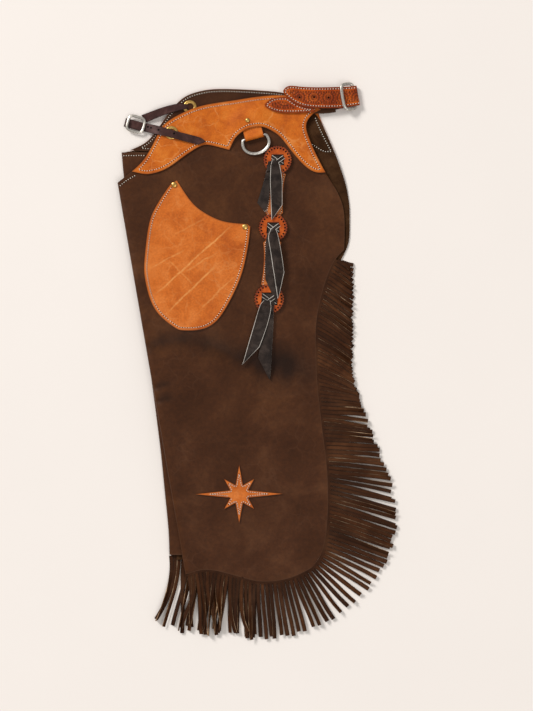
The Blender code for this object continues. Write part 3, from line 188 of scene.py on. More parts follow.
# Right leg: one panel of heavy oiled leather, turned flesh side up except where it bends over at the left.
# Its rough fibre shows in the strip at the upper right and its smooth grain on the bend at the lower left.
OILED = {"deep": (0.036, 0.0105, 0.0022), "mid": (0.051, 0.0155, 0.0037), "pale": (0.076, 0.026, 0.0075),
         "rubbed": (0.105, 0.044, 0.020)}
OILED_EDGE = (0.070, 0.030, 0.014)
# Darkest colour: darker tone of the leather where marked, and the painted shade of the knee creases.
DARK_TONE_AND_SHADE = (0.0075, 0.0024, 0.0006)
FLESH = ((0.019, 0.0066, 0.0018), (0.036, 0.0138, 0.0042), (0.060, 0.026, 0.0095))
SHARP_BEND = 0.6
LAYERS_APART = 4.0
FLESH_BELOW = 6.0


def rough_side(name, shades):
    """The flesh side of leather: matt, with a short loose nap."""
    material, tree, shader, place = new_finish(name, 0.93)
    cloud = mottle(tree, place, 30.0, 6.0, 0.7)
    nap = mottle(tree, place, 700.0, 4.0, 0.8, 1.0)
    base = colour_steps(tree, calculated(tree, "ADD", calculated(tree, "MULTIPLY", cloud, 0.7),
                                         calculated(tree, "MULTIPLY", nap, 0.3)),
                        [(0.38, shades[0]), (0.5, shades[1]), (0.62, shades[2])])
    tree.links.new(base, shader.inputs["Base Color"])
    shader.inputs["Specular IOR Level"].default_value = 0.08
    shader.inputs["Sheen Weight"].default_value = 0.02
    shader.inputs["Sheen Roughness"].default_value = 0.6
    bumped(tree, shader, nap, 0.0006, 0.8)
    return material


def refined(name, node, levels, corner=-0.7):
    """A finer copy of a CAD solid: its sharp edges kept and its bends made round."""
    work = bmesh.new()
    work.from_mesh(frame["nodes"][node].data)
    bmesh.ops.remove_doubles(work, verts=work.verts, dist=0.00001)
    bmesh.ops.join_triangles(work, faces=work.faces, angle_face_threshold=0.5, angle_shape_threshold=0.9)
    crease = work.edges.layers.float.new("crease_edge")
    point = work.verts.layers.float.new("crease_vert")
    for edge in work.edges:
        edge[crease] = 1.0 if edge.calc_face_angle(0.0) > SHARP_BEND else 0.0
    for vert in work.verts:
        ways = [(e.other_vert(vert).co - vert.co).normalized() for e in vert.link_edges if e[crease]]
        if len(ways) > 2 or (len(ways) == 2 and ways[0].dot(ways[1]) > corner):
            flat = [way for way in ways if abs(way.z) < 0.7]
            if len(flat) == 2 and flat[0].dot(flat[1]) > corner:
                vert[point] = 1.0
    mesh = bpy.data.meshes.new(name)
    work.to_mesh(mesh)
    work.free()
    coarse = bpy.data.objects.new(name + "_coarse", mesh)
    bpy.context.scene.collection.objects.link(coarse)
    if levels:
        finer = coarse.modifiers.new("finer", "SUBSURF")
        finer.levels = finer.render_levels = levels
    made = bpy.data.meshes.new_from_object(coarse.evaluated_get(bpy.context.evaluated_depsgraph_get()))
    bpy.data.objects.remove(coarse)
    made.name = name
    for layer in ("crease_edge", "crease_vert"):
        if layer in made.attributes:
            made.attributes.remove(made.attributes[layer])
    return add_piece(name, made)


def add_piece(name, mesh):
    piece = bpy.data.objects.new(name, mesh)
    bpy.context.scene.collection.objects.link(piece)
    for face in mesh.polygons:
        face.use_smooth = True
    mesh.set_sharp_from_angle(angle=SHARP_BEND)
    return piece


def top_rims(piece):
    """The upper edges of a piece's cut sides as chains of points, the longest first."""
    work = bmesh.new()
    work.from_mesh(piece.data)
    steps = {}
    for edge in work.edges:
        if len(edge.link_faces) == 2 and edge.calc_face_angle(0.0) > SHARP_BEND:
            if max(face.normal.z for face in edge.link_faces) > 0.6:
                a, b = edge.verts
                steps.setdefault(a.index, []).append(b.index)
                steps.setdefault(b.index, []).append(a.index)
    work.verts.ensure_lookup_table()
    chains = []
    while steps:
        ends = [k for k, ways in steps.items() if len(ways) == 1]
        chain = [ends[0] if ends else next(iter(steps))]
        while steps.get(chain[-1]):
            ahead = steps[chain[-1]].pop()
            steps[ahead].remove(chain[-1])
            for k in (chain[-1], ahead):
                if not steps[k]:
                    del steps[k]
            chain.append(ahead)
        chains.append([work.verts[k].co.copy() for k in chain])
    work.free()
    return sorted(chains, key=lambda c: sum((b - a).length for a, b in zip(c, c[1:])), reverse=True)


def mark_edges(piece, reach=6.0):
    """How near each point is to the cut edge: 0 on it, 1 from reach millimetres in."""
    marks = piece.data.attributes.new("edge", "FLOAT", "POINT")
    rim = [p for chain in top_rims(piece) for p in chain]
    tree = KDTree(len(rim))
    for index, p in enumerate(rim):
        tree.insert((p.x, p.y, p.z * LAYERS_APART), index)
    tree.balance()
    for vert in piece.data.vertices:
        away = tree.find((vert.co.x, vert.co.y, vert.co.z * LAYERS_APART))[2] if rim else reach
        marks.data[vert.index].value = min(away / (reach * MM), 1.0)


def finished(piece, body, slot, *materials, choose=None):
    """Puts on the finishes and says what the piece moves with; the slot it is given is not used."""
    chosen = [choose(face) if choose else 0 for face in piece.data.polygons]
    piece.data.materials.clear()
    for material in materials:
        piece.data.materials.append(material)
    piece.data.polygons.foreach_set("material_index", chosen)
    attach(piece, body)
    return piece


def ripple(x, y):
    """The slight unevenness of leather that has been worn, in metres of height."""
    broad = noise.noise(Vector((x * 9.0, y * 12.0, 3.1))) * 1.3
    near = noise.noise(Vector((x * 26.0, y * 21.0, 7.7))) * 0.45
    return (broad + near) * MM


def settle(piece, low=3.0, reach=8.0):
    """Lays the unevenness into a piece, less the nearer it is to the surface below."""
    for vert in piece.data.vertices:
        held = min(max((vert.co.z / MM - low) / reach, 0.0), 1.0)
        vert.co.z += ripple(vert.co.x, vert.co.y) * held
    piece.data.update()


def which_side(face):
    return 1 if face.normal.z > 0.3 and face.center.z < FLESH_BELOW * MM else 0


oiled = leather("oiled_leather", OILED, 11.0, 1000.0, 0.00020, (0.46, 0.62), OILED_EDGE, 0.19, DARK_TONE_AND_SHADE, 0.13, 0.20)[0]
flesh = rough_side("flesh_side", FLESH)
right_leg = refined("right_leg_panel", "right_leg", 2)
settle(right_leg, 5.5, 5.0)
mark_edges(right_leg, 3.0)
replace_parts(finished(right_leg, "chaps", "dark_leather", oiled, flesh, choose=which_side), "right_leg")
right_yoke = refined("right_yoke_panel", "right_yoke", 2)
mark_edges(right_yoke)
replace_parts(finished(right_yoke, "chaps", "tan_leather", tan), "right_yoke")

# Seam that holds the right yoke on: cream linen thread, lockstitched through yoke and leg. Its right tip
# comes through on the flesh side as a narrow V.
THREAD = (0.86, 0.80, 0.68)
HOLE_WIDE = 1.7
CENTRE_SHIFT = Vector((-2.17, -2.23))
YOKE_TIP_SEAM = [
    # x, y
    (99, 394), (115, 384), (123, 380.5), (133.7, 381), (127.8, 392), (119.9, 407.4), (110.7, 427), (104.4, 443),
]


def thread_finish():
    material, tree, shader, place = new_finish("linen_thread", 0.8)
    ply = mottle(tree, place, 1500.0, 2.0, 0.6)
    darker = tuple(0.7 * part for part in THREAD)
    tree.links.new(colour_steps(tree, ply, [(0.3, darker), (0.7, THREAD)]), shader.inputs["Base Color"])
    bumped(tree, shader, ply, 0.0003, 0.6)
    return material


def placed(points):
    """Points in millimetres, moved to where the chaps lie in the frame."""
    return [Vector(((x + CENTRE_SHIFT.x) * MM, (y + CENTRE_SHIFT.y) * MM, 0.0)) for x, y in points]


def even_points(line, step):
    """Points at an even spacing along a line."""
    spaced, carry = [line[0].copy()], 0.0
    for a, b in zip(line, line[1:]):
        length = (b - a).length
        at = step - carry
        while at <= length:
            spaced.append(a.lerp(b, at / length))
            at += step
        carry = (carry + length) % step if length else carry
    return spaced


def surface_of(*pieces):
    """Reads the height of the highest of these pieces at a place."""
    trees = []
    for piece in pieces:
        work = bmesh.new()
        work.from_mesh(piece.data)
        trees.append(BVHTree.FromBMesh(work))
        work.free()

    def height(x, y):
        hits = [tree.ray_cast(Vector((x, y, 1.0)), Vector((0.0, 0.0, -1.0)))[0] for tree in trees]
        found = [hit.z for hit in hits if hit]
        return max(found) if found else None

    return height


def seam_line(piece, chain, inset):
    """A line beside a cut edge, inset millimetres into the piece."""
    height = surface_of(piece)
    line = even_points([Vector((p.x, p.y, 0.0)) for p in chain], 1.5 * MM)
    tree = KDTree(len(line))
    for index, p in enumerate(line):
        tree.insert(p, index)
    tree.balance()
    closed = (line[0] - line[-1]).length < 3.0 * MM
    sides = {1: [], -1: []}
    for index, p in enumerate(line):
        before = line[index - 2] if closed or index > 1 else line[0]
        after = line[(index + 2) % len(line)] if closed else line[min(index + 2, len(line) - 1)]
        along = (after - before).normalized()
        for side in sides:
            moved = p + Vector((-along.y, along.x, 0.0)) * side * inset * MM
            if tree.find(moved)[2] > 0.94 * inset * MM and height(moved.x, moved.y) is not None:
                sides[side].append(moved)
    return max(sides.values(), key=len)


def stitches(name, piece, line, pitch=4.5, length=2.1, thick=1.6, keep=None):
    """A row of thread stitches along a line on a piece, with painted shade of the needle holes between them, all one
    mesh.
    """
    height = surface_of(piece)
    points, faces, kinds = [], [], []
    spots = even_points(line, 0.3 * MM)
    stride, span = round(pitch / 0.3), round(length / 0.3)
    ends_of = [(k, k + span, thick, 0) for k in range(0, len(spots) - span, stride)]
    # Between stitches, thin dark slivers: painted shade of the needle holes.
    ends_of += [(k + span, k + stride, HOLE_WIDE, 1) for k in range(0, len(spots) - stride, stride)]
    for first, last, wide, kind in ends_of:
        a, b = spots[first], spots[last]
        gap = (last - first) * 0.3 * MM
        high_a, high_b = height(a.x, a.y), height(b.x, b.y)
        broken = (b - a).length > 1.25 * gap or (b - a).length < 0.75 * gap
        if broken or high_a is None or high_b is None or (keep and not keep(a)):
            continue
        ends = (Vector((a.x, a.y, high_a)), Vector((b.x, b.y, high_b)))
        along = (ends[1] - ends[0]).normalized()
        across = along.cross(Vector((0.0, 0.0, 1.0))).normalized() * wide * MM / 2
        up = across.cross(along).normalized() * (0.1 if kind else wide / 2) * MM
        base = len(points)
        points += [ends[0] - up * 0.6, ends[1] - up * 0.6]
        for part in (0.22, 0.78):
            middle = ends[0].lerp(ends[1], part) + up * 0.35
            points += [middle - across, middle + up, middle + across, middle - up]
        near, far = base + 2, base + 6
        for k in range(4):
            ahead = (k + 1) % 4
            faces += [(base, near + ahead, near + k), (base + 1, far + k, far + ahead),
                      (near + k, near + ahead, far + ahead, far + k)]
        kinds.extend([kind] * 12)
    mesh = bpy.data.meshes.new(name)
    mesh.from_pydata(points, [], faces)
    mesh.polygons.foreach_set("material_index", kinds)
    work = bmesh.new()
    work.from_mesh(mesh)
    bmesh.ops.recalc_face_normals(work, faces=work.faces)
    work.to_mesh(mesh)
    work.free()
    seam = add_piece(name, mesh)
    return finished(seam, "chaps", "tan_leather", thread, needle_hole_shade, choose=lambda face: face.material_index)


thread = thread_finish()
# Painted shade: near-black colour for the needle holes between stitches.
needle_hole_shade = rough_side("needle_hole_shade", ((0.008, 0.003, 0.001), (0.020, 0.008, 0.003), (0.035, 0.014, 0.005)))
stitches("yoke_tip_seam", right_leg, placed(YOKE_TIP_SEAM))

# Right yoke liner: thin dark grain leather inside the waist, sewn along its upper edge.
# Only a crescent of it shows above the left yoke.
LINER_OIL = 0.3
liner = refined("yoke_liner", "right_yoke_liner", 3)
settle(liner)
mark_edges(liner, 4.0)
oil_marks = liner.data.attributes.new("dark_tone_and_shade", "FLOAT", "POINT")
oil_marks.data.foreach_set("value", [LINER_OIL] * len(liner.data.vertices))
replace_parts(finished(liner, "chaps", "dark_leather", oiled), "right_yoke_liner")
stitches("liner_seam", liner, seam_line(liner, top_rims(liner)[0], 4.5))
hem_line = placed([(-241, 373), (-200, 373.5)])
stitches("right_leg_hem_seam", right_leg, hem_line)

# Right leg's fringe: strands cut from strips of the same leather, sewn along the outer edge and the hem.
# A row peeps out beneath the left leg on the right, and a loose bunch hangs at the lower left.
STRIP_REACH = 4.6
STRIP_UNDER = 1.8
STRIP_TONE = 0.55
STRAND_THICK = 1.5
STRAND_PARTS = 14
CUT_CORNERS = (0.05, 0.08, 0.15, 0.55)
CUT_SIDE = ((0.035, 0.015, 0.006), (0.12, 0.058, 0.026), (0.42, 0.28, 0.17))
# Painted shade: colour laid along both margins of every strand, as the shade between neighbouring strands.
STRAND_MARGIN_SHADE = (0.010, 0.0035, 0.001)
STRAND_CROWN = 0.3
LOOSE_LEFT_OF = -25.0
RIGHT_SIDE_FRINGE = [
    # root x, root y, tip x, tip y
    (152, 187, 174, 181), (140, 165, 174, 146), (122, 108, 173, 76), (113, 41, 172, 8), (108, -40, 168, -70),
]
RIGHT_HEM_FRINGE = [
    # root x, root y, tip x, tip y
    (-160, -346, -202, -470), (-144, -341, -160, -484), (-103, -342, -122, -490), (-49, -355, -58, -494),
    (3, -368.6, -4, -499),
]


def curve_through(rows, columns, marks_a_row=16):
    """A smooth line through a table's rows, as points with their row position."""
    ends = placed([(row[columns[0]], row[columns[1]]) for row in rows])
    line = []
    for i in range(len(ends) - 1):
        before, after = ends[max(i - 1, 0)], ends[min(i + 2, len(ends) - 1)]
        chord = (ends[i + 1] - ends[i]).length
        leave = (ends[i + 1] - before).normalized() * chord
        arrive = (after - ends[i]).normalized() * chord
        for k in range(marks_a_row):
            t = k / marks_a_row
            line.append(ends[i] * (2 * t ** 3 - 3 * t * t + 1) + leave * (t ** 3 - 2 * t * t + t)
                        + ends[i + 1] * (3 * t * t - 2 * t ** 3) + arrive * (t ** 3 - t * t))
    line.append(ends[-1])
    return line


def at_share(line, share):
    """The point a share of the way along a line's list of points."""
    spot = min(max(share, 0.0), 1.0) * (len(line) - 1)
    index = min(int(spot), len(line) - 2)
    return line[index].lerp(line[index + 1], spot - index)


def strand(made, centre, side, up, width, thick, cut, tone):
    """Adds one flat strand along its centre line; its narrow sides and their corners are cut edges."""
    points, faces, kinds, shade_free_middles, tones = made
    base = len(points)
    corner, shoulder, crown = width / 2 - cut, thick / 2 - 0.4 * MM, thick / 2 + STRAND_CROWN * MM
    section = [(-width / 2, -thick / 2), (width / 2, -thick / 2), (width / 2, shoulder), (corner, thick / 2),
               (0.0, crown), (-corner, thick / 2), (-width / 2, shoulder)]
    size = len(section)
    for middle, across, lift in zip(centre, side, up):
        points.extend(middle + across * along + lift * rise for along, rise in section)
        # 1 on the crown, 0 at the corners: the strand's margins get painted shade.
        shade_free_middles.extend(1.0 if rise == crown else 0.0 for _, rise in section)
        tones.extend([tone] * size)
    for ring in range(len(centre) - 1):
        for k in range(size):
            a, b = base + ring * size + k, base + ring * size + (k + 1) % size
            faces.append((a, b, b + size, a + size))
            kinds.append(0 if k in (0, 3, 4) else 1)
    last = base + (len(centre) - 1) * size
    faces.extend((tuple(range(base + size - 1, base - 1, -1)), tuple(range(last, last + size))))
    kinds.extend((1, 1))


def fringe(name, node, table, count, root_height, rest_height, seed, calm, loose, width=7.6):
    """A strip along the leg's edge with its cut strands, each a little different."""
    dice = random.Random(seed)
    roots, tips = curve_through(table, (0, 1)), curve_through(table, (2, 3))
    run = [0.0]
    for a, b in zip(roots, roots[1:]):
        run.append(run[-1] + (b - a).length)
    points, faces, kinds, shade_free_middles, tones = [], [], [], [], []
    strip = []
    lift = Vector((0.0, 0.0, 1.0))
    for index in range(count):
        goal = run[-1] * (index + 0.5) / count
        at = next(k for k in range(len(run) - 1) if run[k + 1] >= goal)
        share = (at + (goal - run[at]) / (run[at + 1] - run[at])) / (len(roots) - 1)
        root, tip = at_share(roots, share), at_share(tips, share)
        along = (at_share(roots, share + 0.01) - at_share(roots, share - 0.01)).normalized()
        out = Vector((along.y, -along.x, 0.0))
        out = out if out.dot(tip - root) > 0 else -out
        low = root_height(root)
        strip.append((root - out * STRIP_UNDER * MM, root + out * STRIP_REACH * MM, low))
        wild = loose if root.x < LOOSE_LEFT_OF * MM and root.y < -0.3 else calm
        start = root + out * (STRIP_REACH - 1.2) * MM
        reach = (tip - start) * (1.0 - 0.07 * wild * dice.random())
        stray = Vector((-reach.y, reach.x, 0.0)) * ((0.075 if wild == loose else 0.035) * wild * dice.uniform(-1, 1))
        swing = 0.6 if wild == loose else 0.15
        leave = (out * swing + reach.normalized() * (1 - swing)).normalized() * reach.length * 0.45
        end = start + reach + stray
        wave = dice.uniform(-1, 1) * 1.7 * wild * MM
        turns = dice.choice((0.05, 0.1, 0.2, 0.4, 0.8)) * dice.choice((-1, 1)) * min(wild, 1.8)
        layer = (index % 3) * 0.8 * MM + dice.uniform(0.0, 1.4) * wild * MM
        centre, side, up = [], [], []
        for k in range(STRAND_PARTS + 1):
            t = k / STRAND_PARTS
            spot = start * (1 - t) ** 2 + (start + leave) * (2 * t * (1 - t)) + end * t * t
            ahead = (leave * (1 - t) + (end - start - leave) * t).normalized()
            level = Vector((-ahead.y, ahead.x, 0.0))
            level = level if level.dot(along) > 0 else -level
            spot = spot + level * wave * math.sin(math.pi * (1.6 * t + 0.3)) * t
            fall = (1 - t) ** 2
            turn = turns * smooth_step(t)
            stand = abs(math.sin(turn)) * width / 2 * MM
            spot.z = low * fall + (rest_height(spot) + layer * (1 - 0.6 * t) + stand) * (1 - fall)
            centre.append(spot)
            side.append(level * math.cos(turn) + lift * math.sin(turn))
            up.append(lift * math.cos(turn) - level * math.sin(turn))
        strand((points, faces, kinds, shade_free_middles, tones), centre, side, up, width * MM * dice.uniform(0.88, 1.04),
               STRAND_THICK * MM, dice.choice(CUT_CORNERS) * MM, dice.uniform(0.0, 0.7))
    for (in_a, out_a, low_a), (in_b, out_b, low_b) in zip(strip, strip[1:]):
        base = len(points)
        for p, low in ((in_a, low_a), (out_a, low_a), (out_b, low_b), (in_b, low_b)):
            points += [Vector((p.x, p.y, low - MM)), Vector((p.x, p.y, low + 0.9 * MM))]
            shade_free_middles.extend((1.0, 1.0))
            tones.extend((STRIP_TONE, STRIP_TONE))
        faces += [(base + 1, base + 3, base + 5, base + 7), (base + 6, base + 4, base + 2, base),
                  (base, base + 2, base + 3, base + 1), (base + 2, base + 4, base + 5, base + 3),
                  (base + 4, base + 6, base + 7, base + 5), (base + 6, base, base + 1, base + 7)]
        kinds.extend((0, 0, 1, 1, 1, 1))
    mesh = bpy.data.meshes.new(name)
    mesh.from_pydata(points, [], faces)
    for face, kind in zip(mesh.polygons, kinds):
        face.material_index = kind
    for label, values in (("edge", shade_free_middles), ("dark_tone_and_shade", tones)):
        mesh.attributes.new(label, "FLOAT", "POINT").data.foreach_set("value", values)
    work = bmesh.new()
    work.from_mesh(mesh)
    bmesh.ops.recalc_face_normals(work, faces=work.faces)
    work.to_mesh(mesh)
    work.free()
    made = add_piece(name, mesh)
    finished(made, "chaps", "dark_leather", strand_grain, cut_side, choose=lambda face: face.material_index)
    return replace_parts(made, node)


def smooth_step(t):
    return t * t * (3.0 - 2.0 * t)


def floor_root(place):
    return 1.0 * MM


def floor_rest(place):
    return 1.0 * MM


strand_grain = leather("fringe_leather", OILED, 16.0, 900.0, 0.00018, (0.5, 0.68), STRAND_MARGIN_SHADE, 0.13, DARK_TONE_AND_SHADE, 0.10)[0]
cut_side = rough_side("cut_side", CUT_SIDE)
fringe("right_leg_side_fringe", "right_side_fringe", RIGHT_SIDE_FRINGE, 34, floor_root, floor_rest, 3, 0.5, 0.5)
fringe("right_leg_hem_fringe", "right_hem_fringe", RIGHT_HEM_FRINGE, 21, floor_root, floor_rest, 5, 1.2, 1.8)

# Left leg: one panel of the same oiled leather, grain side up, bent over at the front edge and lying over
# the right one. It is slack across the knee and creased along the bend.
BEND_TOP = (-250.0, 324.0)
# Painted shade along the knee trough, laid into the leather's colour, with some darker worn leather there too.
KNEE_SHADE = [
    # from x, from y, to x, to y, share, width
    (-200, 27, -169, 44, 0.34, 11.0), (-171, 45, -131, 43, 0.36, 15.0), (-133, 44, -86, 33, 0.40, 18.0),
    (-88, 33, -30, 14, 0.40, 22.0), (-34, 15, 10, -5, 0.42, 26.0), (6, -6, 58, -12, 0.58, 32.0),
    (54, -10, 106, -22, 0.50, 28.0), (40, 36, 44, 0, 0.36, 20.0), (-184, -45, -158, -37, 0.42, 8.0),
    (-180, -68, -156, -61, 0.42, 8.0),
]
BEND_FOOT = (-128.0, -380.0)
WAIST_HEM_SEAM = [
    # x, y
    (-250, 315), (-243, 321), (-235, 327.5), (-226, 333), (-217, 338),
]
KNEE_CREASES = [
    # from x, from y, to x, to y, depth, width
    (-198, 25, -121, 42, 1.6, 10.0), (-120, 42, -50, 20, 1.8, 14.0), (-60, 22, 12, -10, 2.2, 17.0),
    (5, -6, 80, -4, 2.6, 20.0), (-75, -64, 112, -60, 0.5, 5.0), (-184, -45, -152, -36, 1.5, 4.5),
    (-181, -69, -148, -61, 1.7, 4.5), (-176, -92, -152, -88, 0.7, 4.0), (-110, 62, -60, 44, 0.4, 6.0),
]


def crease_depth(x, y, rows):
    """How deep the creases of a table are at a place, in millimetres."""
    here = Vector((x / MM - CENTRE_SHIFT.x, y / MM - CENTRE_SHIFT.y))
    total = 0.0
    for x0, y0, x1, y1, depth, width in rows:
        start, run = Vector((x0, y0)), Vector((x1 - x0, y1 - y0))
        part = (here - start).dot(run) / run.length_squared
        away = abs((here - start).x * run.y - (here - start).y * run.x) / run.length
        if away < 4 * width and -0.3 < part < 1.3:
            fade = smooth_step(min(max((part + 0.3) / 0.5, 0.0), 1.0)) * smooth_step(min(max((1.3 - part) / 0.5, 0.0), 1.0))
            bend_line = away + 1.5 * noise.noise(Vector((x * 30.0, y * 30.0, 1.0)))
            total += depth * fade * math.exp(-(bend_line / width) ** 2)
    return total


def from_bend(x, y):
    """How far a place lies to the right of the bend, in millimetres."""
    run = (BEND_FOOT[0] - BEND_TOP[0]) / (BEND_FOOT[1] - BEND_TOP[1])
    return x / MM - CENTRE_SHIFT.x - BEND_TOP[0] - (y / MM - CENTRE_SHIFT.y - BEND_TOP[1]) * run


def held_share(z, low=3.0, reach=5.0):
    """How freely a point that high above the surface may move: 0 near the surface, 1 well above it."""
    return min(max((z / MM - low) / reach, 0.0), 1.0)


def sink_layers(piece):
    """Gives what lies folded inside the leg the same creases, a little lower than the leg's."""
    low = min(vert.co.z for vert in piece.data.vertices)
    for vert in piece.data.vertices:
        depth = (crease_depth(vert.co.x, vert.co.y, KNEE_CREASES) + 1.2) * held_share(vert.co.z)
        vert.co.z = max(vert.co.z - depth * MM, low + 0.4 * (vert.co.z - low))
    piece.data.update()


def crease_leg(piece):
    """Creases across the knee and short ones that run in from the bend, as deep as the layers inside allow, with
    painted shade laid into the leather's colour along the knee creases.
    """
    core = surface_of(inner_layers)
    facing = [vert.normal.z for vert in piece.data.vertices]
    dark_tone_and_shade = piece.data.attributes.new("dark_tone_and_shade", "FLOAT", "POINT")
    for vert in piece.data.vertices:
        x, y, z = vert.co
        dip = crease_depth(x, y, KNEE_CREASES)
        # Painted shade: the knee creases' depth and the knee shade rows darken the leather's colour here, as shade in
        # the trough with some darker leather.
        dark_tone_and_shade.data[vert.index].value = min(dip * 0.11 + crease_depth(x, y, KNEE_SHADE), 1.0)
        inward = from_bend(x, y)
        if inward < 45.0:
            dip += 0.9 * noise.noise(Vector((x * 14.0, y * 62.0, 5.0))) * math.exp(-((inward - 6.0) / 20.0) ** 2)
        vert.co.z = z - dip * held_share(z) * MM
        inner = core(x, y)
        if inner is not None and z > inner - 3.0 * MM:
            vert.co.z = max(vert.co.z, inner + (2.4 if facing[vert.index] > 0.0 else 0.3) * MM)
    piece.data.update()


inner_layers = refined("inner_layers", "hidden_layers", 1)
sink_layers(inner_layers)
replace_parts(finished(inner_layers, "chaps", "dark_leather", flesh), "hidden_layers")
left_leg = refined("left_leg_panel", "left_leg", 3)
settle(left_leg)
crease_leg(left_leg)
mark_edges(left_leg, 3.0)
leg_edge = top_rims(left_leg)[0]
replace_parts(finished(left_leg, "chaps", "dark_leather", oiled, flesh,
                     choose=lambda face: 1 if face.normal.z < -0.5 else 0), "left_leg")
stitches("left_leg_waist_seam", left_leg, placed(WAIST_HEM_SEAM))

# Left leg's fringe: strands about 6 mm wide and up to 130 mm long, cut from a strip along the outer edge
# and the hem. They fan out at the lower corner and curl and cross at the lower left.
LEFT_FRINGE = [
    # root x, root y, tip x, tip y
    (144, 190, 167, 174), (131, 168, 170, 142), (119, 130, 172, 96), (113, 110, 172, 70), (106, 66, 172, 26),
    (106, 23, 172, -14), (106.6, -8, 178, -44), (108.3, -34, 184.5, -56), (110, -57, 188.5, -67),
    (112, -77, 193, -81), (115.3, -102, 204, -113), (119.3, -136, 214.5, -141), (125, -174, 230, -181),
    (127, -200, 243, -217), (127.6, -222, 250.5, -250), (128, -254, 254, -294), (126.5, -298, 244.5, -337),
    (122, -330, 229, -370), (112, -356, 199, -412), (98, -370.5, 163, -446), (78, -381, 122, -472),
    (55, -389.5, 80, -489), (27, -394, 38, -498), (-2, -394, -2, -500), (-38, -383, -38, -499),
    (-66, -376, -70, -497), (-92, -371, -98, -494), (-127, -379.5, -130, -488),
]
leg_rim_tree = KDTree(len(leg_edge))
for rim_index, rim_point in enumerate(leg_edge):
    leg_rim_tree.insert((rim_point.x, rim_point.y, 0.0), rim_index)
leg_rim_tree.balance()


def leg_edge_height(place):
    return leg_edge[leg_rim_tree.find((place.x, place.y, 0.0))[1]].z - 1.0 * MM


def over_right_fringe(place):
    return 3.0 * MM


fringe("left_leg_fringe", "left_fringe", LEFT_FRINGE, 112, leg_edge_height, over_right_fringe, 11, 0.9, 2.6)

# Front pocket: a bag-shaped piece of tan pull-up leather, sewn on round its curved side. It has rubbed
# pale in long scratches, and a brass rivet holds each end of its mouth.
POCKET_MOUTH = [
    # x, y
    (-144, 328), (-122, 294), (-103, 275), (-67, 256), (-32, 250), (-18, 250),
]
POCKET_SCRATCHES = [
    # from x, from y, to x, to y, strength
    (-184, 120, -44, 248, 0.9), (-165, 86, -71, 178, 0.8), (-130, 162, -71, 199, 0.55), (-103, 95, -40, 156, 0.6),
    (-194, 169, -130, 203, 0.55), (-161, 185, -112, 138, 0.45), (-150, 230, -90, 262, 0.3),
]


def scratched(finish, rows):
    """Rubbed pale lines on a leather finish, each between two places."""
    material, tree, shader, place, cloud = finish
    wander = add_node(tree, "ShaderNodeTexNoise", i0=place, Scale=28.0, Detail=3.0).outputs["Color"]
    moved = add_node(tree, "ShaderNodeVectorMath", {"operation": "SCALE"}, i0=wander, Scale=0.009).outputs[0]
    spot = add_node(tree, "ShaderNodeVectorMath", {"operation": "ADD"}, i0=place, i1=moved).outputs[0]
    total = None
    for x0, y0, x1, y1, strength in rows:
        start, end = placed([(x0, y0), (x1, y1)])
        along = (end - start).normalized()
        across = Vector((-along.y, along.x, 0.0))
        offset = 0.0045 * (across.x + across.y) + across.dot(start)
        beside = add_node(tree, "ShaderNodeVectorMath", {"operation": "DOT_PRODUCT"}, i0=spot, i1=across).outputs["Value"]
        beside = calculated(tree, "ABSOLUTE", calculated(tree, "SUBTRACT", beside, offset))
        ahead = add_node(tree, "ShaderNodeVectorMath", {"operation": "DOT_PRODUCT"}, i0=spot, i1=along).outputs["Value"]
        middle, half = along.dot((start + end) / 2) + 0.0045 * (along.x + along.y), (end - start).length / 2
        ahead = calculated(tree, "ABSOLUTE", calculated(tree, "SUBTRACT", ahead, middle))
        line = calculated(tree, "MULTIPLY", ranged(tree, beside, 0.0003, 0.0022, strength, 0.0),
                          ranged(tree, ahead, half * 0.6, half * 1.05, 1.0, 0.0))
        total = calculated(tree, "MAXIMUM", total, line) if total else line
    broken = calculated(tree, "MULTIPLY", total, ranged(tree, mottle(tree, place, 150.0, 3.0), 0.35, 0.6, 0.35, 1.0))
    base = shader.inputs["Base Color"].links[0].from_socket
    tree.links.new(mixed(tree, broken, base, (0.70, 0.30, 0.085)), shader.inputs["Base Color"])
    return material


def turned_copy(name, node, material, slot):
    """A small hard piece from its CAD solid, made smooth and given its metal."""
    piece = refined(name, node, 2)
    settle(piece)
    finished(piece, "chaps", slot, material)
    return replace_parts(piece, node)


def metal(name, colour, roughness, tarnish):
    """Plated or solid metal with faint wear and a little tarnish in patches."""
    material, tree, shader, place = new_finish(name, roughness)
    shader.inputs["Metallic"].default_value = 1.0
    wear = mottle(tree, place, 320.0, 4.0, 0.7)
    tree.links.new(colour_steps(tree, wear, [(0.35, tarnish), (0.6, colour)]), shader.inputs["Base Color"])
    tree.links.new(ranged(tree, wear, 0.3, 0.7, roughness + 0.16, roughness), shader.inputs["Roughness"])
    bumped(tree, shader, mottle(tree, place, 900.0, 2.0), 0.00005, 0.4)
    return material


brass = metal("brass", (0.74, 0.47, 0.14), 0.26, (0.32, 0.18, 0.045))
POCKET_TAN = {"deep": (0.38, 0.078, 0.007), "mid": (0.50, 0.118, 0.013), "pale": (0.57, 0.155, 0.026),
              "rubbed": (0.66, 0.26, 0.075)}
pocket_tan = scratched(leather("pocket_tan", POCKET_TAN, 22.0, 800.0, 0.00025, (0.44, 0.58), TAN_EDGE, 0.16,
                               veins=0.35),
                       POCKET_SCRATCHES)
pocket = refined("front_pocket", "pocket", 3)
settle(pocket)
mark_edges(pocket)
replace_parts(finished(pocket, "chaps", "tan_leather", pocket_tan), "pocket")
mouth = even_points(placed(POCKET_MOUTH), 4.0 * MM)[2:-2]
stitches("pocket_seam", pocket, seam_line(pocket, top_rims(pocket)[0], 4.8),
         keep=lambda p: min((p - m).length for m in mouth) > 9.0 * MM)
turned_copy("pocket_rivet_a", "pocket_rivet_outer", brass, "brass")
turned_copy("pocket_rivet_b", "pocket_rivet_inner", brass, "brass")

